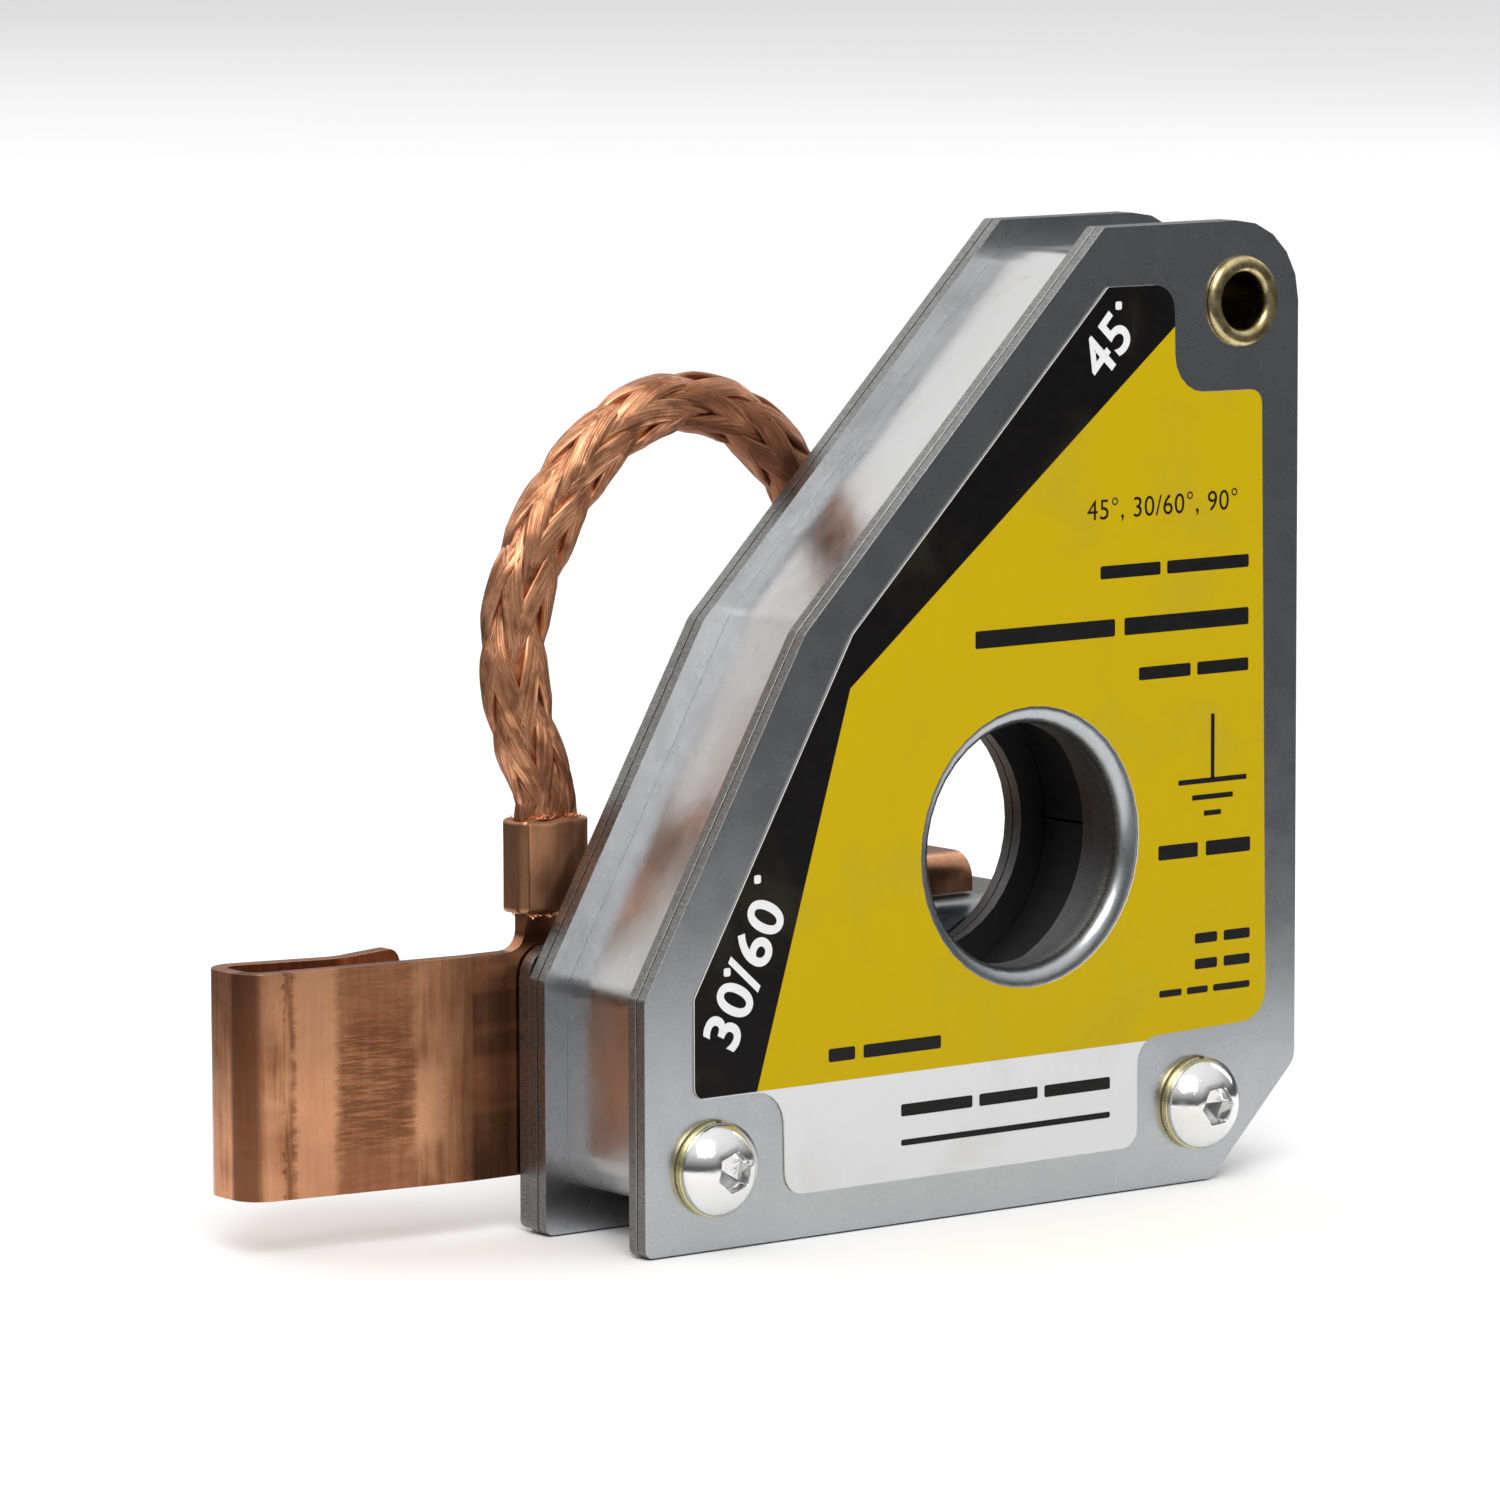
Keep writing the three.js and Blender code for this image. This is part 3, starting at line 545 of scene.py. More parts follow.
def zinc_look(name, base, edge, roughness):
    """Zinc-plated steel: soft clouds, fine rolling marks, sheared edges, and painted shade in the
    big hole.
    """
    look = Look(name, Metallic=1.0)
    grain = look.noise(1.0, (0.5, 2.5, 3))
    tear = look.noise(1.0, (6, 1.1, 6), detail=5, rough=0.7)
    look.colour(look.noise(0.07, detail=5), scaled(base, 0.93), scaled(base, 1.07))
    look.stain(grain, scaled(base, 0.7), 0.14)
    look.stain(look.between(look.noise(2.2), 0.45, 0.85, 0, 0.20), scaled(base, 0.5))
    cut = look.edge_mask()
    look.stain(cut, look.mix(look.between(tear, 0.35, 0.68), scaled(edge, 0.55), edge))
    # painted shade: the plates darken within the big hole, behind its lip
    _, y, _ = look.xyz(look.place())
    hole_shade = look.times(
        look.between(look.from_axis(HOLE_X, HOLE_Z), *HOLE_SHADE_RADII),
        look.between(y, *HOLE_SHADE_FRONT), look.between(y, *HOLE_SHADE_BACK),
    )
    look.stain(hole_shade, (0.10, 0.10, 0.105), 0.72)
    smooth = look.between(look.noise(0.2, detail=4), 0.3, 0.7, roughness - 0.02, roughness + 0.03)
    smooth = look.plus(smooth, look.times(hole_shade, 0.12))
    look.set("Roughness", look.plus(smooth, look.times(cut, 0.16)))
    look.bump(look.plus(look.times(grain, 0.04), look.times(tear, cut)), 0.02, 0.5)
    return look.material


def band_look():
    """Satin rolled strip, with soft waves, cross marks and a few stains."""
    look = Look("satin_band", Metallic=1.0)
    clouds = look.noise(0.11, (1, 1.6, 1))
    strokes = look.noise(1.0, (0.35, 9, 0.35), detail=4)
    stains = look.between(look.noise(0.2, (1, 1.5, 1), detail=5, distortion=0.6), 0.60, 0.74)
    look.colour(clouds, (0.41, 0.405, 0.405), (0.54, 0.535, 0.53))
    look.stain(strokes, (0.40, 0.40, 0.41), 0.22)
    look.stain(stains, (0.34, 0.33, 0.24), 0.35)
    look.rough(clouds, 0.24, 0.36)
    look.bump(look.plus(look.noise(0.22, detail=2), look.times(strokes, 0.05)), 0.12, 0.5)
    return look.material


# The upright bands on the tab's front: where each starts, is full, begins to fade and ends, in
# X. They are painted reflections, light and dark, with a painted highlight patch; painted shade
# darkens the bend's heel and the root by the plates.
STRIP_LINE = (-28.7, -28.3, -28.1, -26.4)
STRIP_HIGHLIGHT_BAND = (-27.6, -26.6, -22.8, -20.9)
STRIP_DARK_REFLECTION = (-22.7, -20.6, -13.6, -11.4)
STRIP_HIGHLIGHT_PATCH = (-12.6, -11.6, -9.0, -8.0)
STRIP_HEEL = (-31.6, -32.8)
STRIP_ROOT = (-6.4, -5.8)
STRIP_FRONT = (30.2, 30.9)  # the bands lie on the front of the strip, before this Y


def copper_look(name, bright, dark, roughness, strip=False):
    """Bare copper with rolling marks and a brown film; the strip also has painted reflection bands,
    streaks and painted shade.
    """
    look = Look(name, Metallic=1.0)
    clouds = look.noise(0.10, detail=5, distortion=0.4)
    upright = look.noise(1.0, (1.3, 1.3, 0.07), detail=5, rough=0.65)
    fine = look.noise(1.0, (7, 7, 0.8), detail=4, rough=0.7)
    film = look.plus(look.times(clouds, 0.6), look.times(upright, 0.4))
    look.colour(look.between(film, 0.38, 0.66), bright, dark)
    look.stain(fine, scaled(dark, 0.55), 0.28)
    relief = look.times(fine, 0.3)
    if strip:
        deep = scaled(dark, 0.42)
        x, y, z = look.xyz(look.place())
        ragged = look.plus(x, look.times(look.noise(1.0, (0.5, 0.5, 1.5)), 2.2))
        fore = look.between(y, *STRIP_FRONT, 1.0, 0.0)

        def column(start, full, fading, end):
            rise = look.between(ragged, start, full)
            return look.times(rise, look.between(ragged, fading, end, 1, 0), fore)

        # painted shade darkens the bend's heel
        look.stain(look.times(look.between(x, *STRIP_HEEL), fore), deep, 0.9)
        # a painted dark reflection line, then a painted highlight band
        line = look.times(column(*STRIP_LINE), look.between(upright, 0.35, 0.6))
        look.stain(line, scaled(dark, 0.6), 0.85)
        look.stain(column(*STRIP_HIGHLIGHT_BAND), bright, 0.7)
        # a painted darker reflection band; its streaks are surface marks darkened with painted
        # shade
        dark_reflection = column(*STRIP_DARK_REFLECTION)
        streaks = look.noise(1.0, (0.22, 0.3, 2.3), detail=5, rough=0.72, distortion=0.25)
        low = look.between(z, 27.5, 22.0, 0.35, 1.0)
        low = look.times(low, look.between(z, 9.5, 13.0, 0.35, 1.0))
        streak = look.times(look.between(streaks, 0.42, 0.60), look.times(dark_reflection, low))
        look.stain(dark_reflection, dark, 0.62)
        look.stain(streak, deep, 0.66)
        # a painted highlight patch
        highlight_patch = look.times(
            column(*STRIP_HIGHLIGHT_PATCH), look.between(z, 21.5, 18.5), look.between(z, 10.5, 12.5))
        look.stain(highlight_patch, bright, 0.85)
        # painted shade, in soft bands, at the root by the plates
        soft_bands = look.noise(1.0, (0.02, 0.02, 0.20), detail=2)
        shaded = look.mix(look.between(soft_bands, 0.42, 0.58), deep, scaled(dark, 1.05))
        look.stain(look.between(x, *STRIP_ROOT), shaded, 0.72)
        relief = look.plus(relief, look.times(streak, 0.6))
    look.rough(clouds, roughness - 0.05, roughness + 0.07)
    look.bump(relief, 0.03, 0.5)
    return look.material


def strand_look():
    """Bundles of fine copper strands: hair-fine lines along each bundle, with brown patches that
    are partly oxide and partly painted shade.
    """
    look = Look("copper_strands", Metallic=1.0)
    across, along, shade = (look.attribute(name) for name in ("across", "along", "shade"))
    hairlines = look.vector(look.times(across, 6.5), look.times(along, 0.16), 0.0)
    hairs = look.noise(1.0, rough=0.6, vector=hairlines)
    lengthways = look.vector(look.times(across, 0.9), look.times(along, 0.17), 0.0)
    runs = look.noise(1.0, rough=0.6, vector=lengthways)
    areas = look.noise(0.26, distortion=0.5)
    patches = look.plus(look.times(runs, 0.55), look.times(areas, 0.45))
    x, _, z = look.xyz(look.place())
    rightward_shade_and_oxide = look.between(x, 12, 32, 0.0, 0.16)  # painted shade and oxide make the braid browner to the right
    downward = look.between(z, 66, 52, 0.0, 0.07)  # and near its ferrules
    # brown patches: partly oxide, partly painted shade
    patch = look.between(look.plus(patches, look.plus(rightward_shade_and_oxide, downward)), 0.45, 0.62)
    look.colour(look.between(hairs, 0.32, 0.68), (0.44, 0.155, 0.065), (1.0, 0.54, 0.31))
    look.stain(patch, (0.18, 0.062, 0.032), 0.72)
    look.stain(shade, (0.42, 0.19, 0.10), 0.12)
    look.rough(hairs, 0.52, 0.34)
    look.bump(hairs, 0.09, 0.8)
    return look.material


def brass_look():
    """Dull brass, with painted shade that makes it nearly black within the eyelet's hole."""
    look = Look("brass_eyelet_metal", Metallic=1.0)
    clouds = look.noise(0.7, detail=4)
    look.colour(look.between(clouds, 0.35, 0.7), (0.72, 0.60, 0.32), (0.42, 0.33, 0.15))
    # painted shade within the eyelet's hole
    bore_shade = look.between(look.from_axis(EYELET_X, EYELET_Z), *EYELET_BORE_RADII, 0, 0.93)
    look.stain(bore_shade, (0.10, 0.078, 0.03))
    look.rough(look.noise(0.8), 0.24, 0.36)
    look.bump(look.noise(1.5), 0.010, 0.4)
    return look.material


def plated_look(name, low, high, roughness):
    """Plated steel fastener: slightly uneven plating with fine pits."""
    look = Look(name, Metallic=1.0)
    clouds = look.noise(0.6, detail=4)
    pits = look.between(look.noise(3.2, detail=2), 0.66, 0.74)
    look.colour(clouds, low, high)
    look.stain(pits, scaled(low, 0.4), 0.4)
    look.rough(clouds, roughness - 0.04, roughness + 0.07)
    look.bump(look.minus(look.noise(2.0), pits), 0.012, 0.5)
    return look.material


def ferrite_look():
    """Black, gritty ceramic."""
    look = Look("ferrite_block", Metallic=0.0, Specular_IOR_Level=0.2)
    grit = look.noise(3.0, detail=5, rough=0.7)
    look.colour(grit, (0.008, 0.008, 0.009), (0.024, 0.024, 0.025))
    look.rough(grit, 0.62, 0.85)
    look.bump(grit, 0.05, 0.6)
    return look.material


YELLOW, BLACK, WHITE = (0.53, 0.37, 0.0), (0.004, 0.0035, 0.0035), (0.68, 0.68, 0.69)
# Two lines of X and Z: the label is black to the left of them and yellow to the right.
BLACK_EDGES = [((15.4, 17.0), (28.8, 61.3)), ((28.8, 61.3), (76.2, 99.3))]
WHITE_TOP = 17.2
PRINT_BLUR = 0.05


def label_look():
    """The printed label: black band along the slanted edges, yellow field, white strip."""
    look = Look("label_print_vinyl", Metallic=0.0, Specular_IOR_Level=0.10)
    x, _, z = look.xyz(look.place())
    black = None
    for (x0, z0), (x1, z1) in BLACK_EDGES:
        long = math.hypot(x1 - x0, z1 - z0)
        right = look.times(look.minus(x, x0), (z1 - z0) / long)
        down = look.times(look.minus(z, z0), (x1 - x0) / long)
        beyond = look.between(look.minus(right, down), -PRINT_BLUR, PRINT_BLUR, 1.0, 0.0)
        black = beyond if black is None else look.math("MAXIMUM", black, beyond)
    mottle = look.noise(0.9, detail=5, rough=0.65)
    smudge = look.between(look.noise(0.07, detail=4, distortion=0.4), 0.5, 0.75)
    look.colour(look.times(mottle, 0.22), YELLOW, scaled(YELLOW, 0.80))
    look.stain(black, look.mix(mottle, BLACK, scaled(BLACK, 1.9)))
    strip = look.between(z, WHITE_TOP - PRINT_BLUR, WHITE_TOP + PRINT_BLUR, 1.0, 0.0)
    look.stain(strip, look.mix(look.times(mottle, 0.3), WHITE, (0.60, 0.60, 0.60)))
    look.stain(smudge, (0.16, 0.13, 0.08), 0.10)
    look.stain(look.edge_mask(), (0.74, 0.72, 0.66))
    look.rough(mottle, 0.38, 0.50)
    look.bump(look.plus(look.noise(0.35), look.times(mottle, 0.12)), 0.06, 0.35)
    return look.material


def ink_look(name, low, high):
    """Flat printing ink between two near colours."""
    look = Look(name, Metallic=0.0, Specular_IOR_Level=0.16)
    mottle = look.noise(1.4, detail=4, rough=0.65)
    look.colour(mottle, low, high)
    look.rough(mottle, 0.38, 0.50)
    look.bump(mottle, 0.01, 0.3)
    return look.material


def put(piece, material, slot_name):
    """Give the piece its material; slot_name is not used."""
    piece.data.materials.clear()
    piece.data.materials.append(material)
    return piece


zinc = zinc_look("zinc_sheet", (0.48, 0.493, 0.513), (0.27, 0.27, 0.26), 0.27)
band_metal = band_look()
copper = copper_look("copper_strip", (0.70, 0.345, 0.185), (0.35, 0.135, 0.065), 0.29, strip=True)
copper_pad = copper_look("copper_pad_sheet", (0.74, 0.38, 0.22), (0.44, 0.19, 0.10), 0.30)
copper_dull = copper_look("copper_crimp", (0.44, 0.215, 0.12), (0.24, 0.105, 0.055), 0.38)
copper_fresh = plated_look("copper_fray_wire", (0.95, 0.42, 0.20), (0.98, 0.55, 0.32), 0.32)
strands = strand_look()
brass = brass_look()
bright = plated_look("bright_plate", (0.78, 0.78, 0.78), (0.86, 0.86, 0.86), 0.13)
yellow_zinc = plated_look("yellow_zinc_plate", (0.62, 0.53, 0.25), (0.80, 0.72, 0.42), 0.24)
zinc_fastener = plated_look("zinc_fastener_plate", (0.46, 0.47, 0.49), (0.62, 0.63, 0.64), 0.30)
spring_metal = plated_look("spring_wire", (0.36, 0.37, 0.38), (0.55, 0.55, 0.56), 0.26)
ferrite = ferrite_look()
label_vinyl = label_look()
white_ink = ink_look("white_ink", (0.72, 0.72, 0.73), (0.80, 0.80, 0.80))
black_ink = ink_look("black_ink", (0.006, 0.006, 0.006), (0.012, 0.011, 0.011))

put(braid, strands, "copper_braid")

# ---- pieces from CAD shapes

ROUNDED = [
    # edge, material, slot and nodes
    (0.22, zinc, "zinc_plate", "front_outer_plate"),
    (0.16, zinc, "zinc_plate", "front_inner_plate", "rear_inner_plate"),
    (0.22, zinc, "zinc_plate", "rear_outer_plate"),
    (0.25, zinc, "zinc_plate", "rear_bracket"),
    (0.32, copper, "copper_sheet", "clamp_tab"),
    (0.30, copper_pad, "copper_sheet", "contact_pad"),
    (0.15, copper_pad, "copper_sheet", "tab_rivet_1", "tab_rivet_2"),
    (0.15, zinc_fastener, "zinc_fastener", "left_rear_washer", "right_rear_washer"),
    (0.12, zinc_fastener, "zinc_fastener", "left_nut", "right_nut"),
    (0.15, bright, "chrome_screw", "left_guide_pin", "right_guide_pin"),
]
for edge, material, slot_name, *members in ROUNDED:
    for node in members:
        put(rounded_copy(node, edge), material, slot_name)

BAND_GRIP = 15.39 / 15.1  # the band is gripped between the plates
put(rounded_copy("spacer_band", 0.04, deeper=BAND_GRIP), band_metal, "satin_band")

KEPT = {
    "magnet_lower_left": ferrite,
    "magnet_lower_right": ferrite,
    "magnet_upper": ferrite,
    "left_spacer_sleeve": zinc_fastener,
    "right_spacer_sleeve": zinc_fastener,
    "front_label": label_vinyl,
}
for node, material in KEPT.items():
    put(nodes[node], material, None)

# ---- screws and eyelet

SCREW_Z = 9.2
SCREW_XS = {"left": 9.5, "right": 80.1}
SCREW_TWISTS = {"left": 0.35, "right": 0.1}  # how far each socket is turned, in radians
HEAD_SEAT = -1.0
HEAD_RADIUS, HEAD_HEIGHT = 5.25, 3.5
HEAD_RIM = 0.45  # straight side below the dome
HEAD_EDGE = 0.12
HEAD_RINGS = 14
SOCKET_FLATS = 4.0
SOCKET_DEPTH = 2.1
SOCKET_DRILL = 0.75  # the drill's point goes on below the socket's floor
SOCKET_RIM = 0.22
SHANK = 3.0
THREAD_DEPTH, THREAD_PITCH = 0.42, 1.0
THREAD_START, SCREW_TIP = 21.0, 30.9
THREAD_STEP = 0.1
THREAD_FADE = 10  # steps in which the thread reaches its full depth
TIP_CHAMFER = 0.6
AROUND = 96


def axis_point(x, z, radius, angle, y):
    """A point at a radius and an angle round a line along Y."""
    return at(x + radius * math.cos(angle), y, z + radius * math.sin(angle))


def dome_height(radius):
    """How far the head's dome stands off its seat at a radius."""
    rise = HEAD_HEIGHT - HEAD_RIM
    ball = (HEAD_RADIUS ** 2 + rise ** 2) / (2 * rise)
    return HEAD_HEIGHT - ball + math.sqrt(ball ** 2 - min(radius, HEAD_RADIUS) ** 2)


def make_screw(side):
    """A button-head screw, as rings from its socket over its head and down to its tip."""
    rows = []

    def row(radius_of, y_of):
        ring = []
        for k in range(AROUND):
            angle = 2 * math.pi * k / AROUND
            radius = radius_of(angle)
            ring.append(axis_point(SCREW_XS[side], SCREW_Z, radius, angle, y_of(angle, radius)))
        rows.append(ring)

    def hexagon(angle):
        within = (angle - SCREW_TWISTS[side]) % (math.pi / 3) - math.pi / 6
        return SOCKET_FLATS / 2 / math.cos(within)

    def face(angle, radius):
        return HEAD_SEAT - dome_height(radius)

    mouth = HEAD_SEAT - dome_height(SOCKET_FLATS / 2)
    floor = mouth + SOCKET_DEPTH
    row(lambda a: 0.02, lambda a, r: floor + SOCKET_DRILL)
    row(lambda a: 0.8 * hexagon(a), lambda a, r: floor + 0.12)
    row(lambda a: 0.97 * hexagon(a), lambda a, r: floor)
    row(hexagon, lambda a, r: floor - 0.2)
    row(hexagon, lambda a, r: mouth + 0.32)
    row(lambda a: hexagon(a) + 0.08, lambda a, r: face(a, r) + 0.10)
    for k in range(1, HEAD_RINGS + 1):

        def dome(angle, share=(k / HEAD_RINGS) ** 0.8):
            return hexagon(angle) + SOCKET_RIM + (HEAD_RADIUS - hexagon(angle) - SOCKET_RIM) * share

        row(dome, face)
    row(lambda a: HEAD_RADIUS, lambda a, r: HEAD_SEAT - HEAD_EDGE)
    row(lambda a: HEAD_RADIUS - HEAD_EDGE, lambda a, r: HEAD_SEAT)
    row(lambda a: SHANK, lambda a, r: HEAD_SEAT)
    row(lambda a: SHANK, lambda a, r: THREAD_START)
    steps = int((SCREW_TIP - TIP_CHAMFER - THREAD_START) / THREAD_STEP)
    for k in range(1, steps + 1):
        y = THREAD_START + THREAD_STEP * k
        fade = min(1.0, k / THREAD_FADE)

        def thread(angle, y=y, fade=fade):
            turn = (y / THREAD_PITCH - angle / (2 * math.pi)) % 1
            return SHANK - fade * THREAD_DEPTH * (1 - abs(2 * turn - 1)) ** 0.8

        row(thread, lambda a, r, y=y: y)
    row(lambda a: SHANK - 0.75, lambda a, r: SCREW_TIP)
    points = [p for ring in rows for p in ring]
    piece = new_piece(f"{side}_screw_body", points, capped_faces(len(rows), AROUND))
    mark_sharp(piece, 38)
    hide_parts(f"{side}_screw")
    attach(piece, "root")
    put(piece, bright, "chrome_screw")


WASHER_INNER, WASHER_OUTER = 3.15, 5.42
WASHER_FRONT, WASHER_BACK = -0.98, -0.05
WASHER_SPLIT = 0.75
WASHER_EDGE = 0.14
WASHER_STEP = 0.03  # how far its ends stand out of line


def make_lock_washer(side):
    """A split ring, its two ends a little out of line, as a used spring washer is."""
    middle_radius = (WASHER_INNER + WASHER_OUTER) / 2
    middle_y = (WASHER_FRONT + WASHER_BACK) / 2
    section = []
    for index, (radius, y) in enumerate((
        (WASHER_OUTER, WASHER_BACK), (WASHER_OUTER, WASHER_FRONT),
        (WASHER_INNER, WASHER_FRONT), (WASHER_INNER, WASHER_BACK),
    )):
        inward_r = math.copysign(WASHER_EDGE, middle_radius - radius)
        inward_y = math.copysign(WASHER_EDGE, middle_y - y)
        corner = [
            (radius + inward_r, y), (radius + 0.3 * inward_r, y + 0.3 * inward_y),
            (radius, y + inward_y),
        ]
        section.extend(corner if index % 2 == 0 else corner[::-1])
    gap = WASHER_SPLIT / WASHER_OUTER
    points = []
    for k in range(AROUND + 1):
        share = k / AROUND
        angle = math.pi / 2 + gap / 2 + (2 * math.pi - gap) * share
        lean = WASHER_STEP * (share - 0.5)
        for radius, y in section:
            points.append(axis_point(SCREW_XS[side], SCREW_Z, radius, angle, y + lean))
    faces = capped_faces(AROUND + 1, len(section))
    piece = new_piece(f"{side}_lock_washer_ring", points, faces)
    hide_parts(f"{side}_lock_washer")
    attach(piece, "root")
    put(sharpen(piece, 50), yellow_zinc, "yellow_zinc")


for side in SCREW_XS:
    make_screw(side)
    make_lock_washer(side)

PLATES_BACK = 21.4
EYELET_PROFILE = [
    # radius, y: bore, front roll, barrel and rear roll
    (3.15, 12.0), (3.15, 3.0), (3.15, 0.6), (3.18, 0.1), (3.30, -0.35), (3.58, -0.68),
    (3.95, -0.86), (4.35, -0.89), (4.75, -0.80), (5.05, -0.60), (5.22, -0.38), (5.24, -0.20),
    (5.15, -0.07), (4.9, -0.05),
    (3.75, -0.05), (3.75, 12.0), (3.75, PLATES_BACK + 0.05), (4.55, PLATES_BACK + 0.06),
    (4.80, PLATES_BACK + 0.18), (4.84, PLATES_BACK + 0.40), (4.66, PLATES_BACK + 0.68),
    (4.30, PLATES_BACK + 0.86), (3.90, PLATES_BACK + 0.88), (3.50, PLATES_BACK + 0.72),
    (3.24, PLATES_BACK + 0.40), (3.15, PLATES_BACK - 0.2),
]


def make_eyelet():
    points = [
        axis_point(EYELET_X, EYELET_Z, radius, 2 * math.pi * k / AROUND, y)
        for radius, y in EYELET_PROFILE for k in range(AROUND)
    ]
    faces = grid_faces(len(EYELET_PROFILE), AROUND, close_rows=True)
    piece = mark_sharp(new_piece("eyelet_body", points, faces), 50)
    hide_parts("hanging_eyelet")
    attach(piece, "root")
    put(piece, brass, "brass_eyelet")


make_eyelet()

# ---- ferrules and frayed ends

FERRULE_WIDTH, FERRULE_DEPTH, FERRULE_HEIGHT = 9.8, 4.6, 10.8
FERRULE_WALL = 0.9
FERRULE_CORNER, BORE_CORNER = 1.3, 1.3 - 0.54
FERRULE_EDGE = 0.22
FERRULE_PLACES = {
    "tab_ferrule": (TAB_LUG_X, TAB_Y, 35.6, "root"),
    "pad_ferrule": (PAD_LUG_X, PAD_Y, 41.0, "pad"),
}
FERRULE_ROWS = 26
FERRULE_DENTS = 9
CRIMP_SEAM = -3.9  # where the crimped sleeve's fold lies, from its middle
CRIMP_STEP = 0.16


def rounded_rectangle(half_width, half_depth, corner, count=112):
    """Points evenly round a rectangle with round corners, with the outward direction of each."""
    straight_w, straight_d = 2 * (half_width - corner), 2 * (half_depth - corner)
    arc = math.pi / 2 * corner
    whole = 2 * (straight_w + straight_d) + 4 * arc
    sides = ((arc, True), (straight_d, False), (arc, True), (straight_w, False)) * 2
    out = []
    for k in range(count):
        left = whole * k / count
        x, y, angle = half_width - corner, -half_depth, -math.pi / 2
        for span, bends in sides:
            run = min(left, span)
            if bends:
                cx, cy = x - corner * math.cos(angle), y - corner * math.sin(angle)
                angle += run / corner
                x, y = cx + corner * math.cos(angle), cy + corner * math.sin(angle)
            else:
                x -= run * math.sin(angle)
                y += run * math.cos(angle)
            if left <= span:
                break
            left -= span
        out.append((x, y, math.cos(angle), math.sin(angle)))
    return out


def uneven_cut(x, phase, rate):
    return 0.18 + 0.14 * math.sin(rate * x + phase)


def make_ferrule(node, x0, y0, z0, body, seed):
    """A crimped copper sleeve, dented, with a fold down its front and uneven ends."""
    rng = random.Random(seed)
    dents = [
        (rng.uniform(-4, 4), rng.uniform(1, 10), rng.uniform(0.05, 0.12), rng.uniform(1.2, 2.6))
        for _ in range(FERRULE_DENTS)
    ]
    half_width, half_depth = FERRULE_WIDTH / 2, FERRULE_DEPTH / 2
    outer = rounded_rectangle(half_width, half_depth, FERRULE_CORNER)
    inner = rounded_rectangle(half_width - FERRULE_WALL, half_depth - FERRULE_WALL, BORE_CORNER)
    rows = []

    def row(loop, height, inset, dented):
        up = height / FERRULE_HEIGHT
        ring = []
        for x, y, nx, ny in loop:
            inwards = inset
            if dented:
                for dx, dz, depth, size in dents:
                    inwards += depth * math.exp(-((x - dx) ** 2 + (height - dz) ** 2) / size ** 2)
                if ny < -0.5 and x > CRIMP_SEAM:
                    inwards += CRIMP_STEP
            z = z0 + height - uneven_cut(x, seed, 1.3) * up ** 8
            z += uneven_cut(x, 2 * seed, 1.1) * (1 - up) ** 8
            ring.append(at(x0 + x - nx * inwards, y0 + y - ny * inwards, z))
        rows.append(ring)

    top = FERRULE_HEIGHT
    row(inner, 0.15, 0, False)
    row(outer, 0.0, FERRULE_EDGE, True)
    row(outer, FERRULE_EDGE, 0.04, True)
    for k in range(1, FERRULE_ROWS):
        row(outer, FERRULE_EDGE + (top - 2 * FERRULE_EDGE) * k / FERRULE_ROWS, 0.02, True)
    row(outer, top - FERRULE_EDGE, 0.04, True)
    row(outer, top, FERRULE_EDGE, True)
    row(inner, top - 0.15, 0, False)
    points = [p for ring in rows for p in ring]
    faces = grid_faces(len(rows), len(outer), close_rows=True)
    piece = mark_sharp(new_piece(f"{node}_sleeve", points, faces), 45)
    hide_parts(node)
    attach(piece, body)
    put(piece, copper_dull, "copper_ferrule")


def make_fray(name, x0, y0, z0, upward, body, count, seed):
    """Loose strand ends that stick out round a ferrule's mouth."""
    rng = random.Random(seed)
    reach_x = FERRULE_WIDTH / 2 - FERRULE_WALL - 0.3
    reach_y = FERRULE_DEPTH / 2 - FERRULE_WALL - 0.2
    parts = []
    for _ in range(count):
        side = rng.uniform(-1, 1)
        face = rng.choice((-1, -1, 1))
        start_x, start_y = x0 + side * reach_x, y0 + face * reach_y
        start_z = z0 - upward * 0.5
        out = rng.uniform(0.3, 1.0)
        rise = rng.uniform(0.5, 1.15)
        lean = rng.uniform(-0.8, 0.8)
        line = []
        for k in range(6):
            t = k / 5
            line.append(at(
                start_x + lean * t + 0.15 * math.sin(3 * t + side),
                start_y + face * out * math.sin(t * 1.5),
                start_z + upward * (0.2 + rise * (t - 0.35 * t * t)),
            ))
        parts.append(tube(line, rng.uniform(0.055, 0.09) * MM, sides=5, taper=0.8))
    piece = joined_piece(name, parts)
    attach(piece, body)
    put(piece, copper_fresh, "copper_braid")


FRAY_TOP, FRAY_BOTTOM = 60, 46  # how many loose ends stand at each mouth
for index, (node, (x0, y0, z0, body)) in enumerate(FERRULE_PLACES.items()):
    make_ferrule(node, x0, y0, z0, body, seed=3 + index)
    mouth = z0 + FERRULE_HEIGHT
    make_fray(f"{node}_fray_top", x0, y0, mouth, 1, body, FRAY_TOP, seed=20 + index)
    make_fray(f"{node}_fray_bottom", x0, y0, z0, -1, body, FRAY_BOTTOM, seed=30 + index)

# ---- springs

PIN_XS = {"left": 47.2, "right": 60}
PIN_Y = 31.4
SPRING_RADIUS, SPRING_WIRE, SPRING_TURNS = 3.4, 0.9, 7
SPRING_LOW, SPRING_HIGH = 3.2, 30.1
SPRING_GAP = 0.02
SPRING_STEPS, SPRING_SIDES = 40, 12  # round one turn, and round the wire


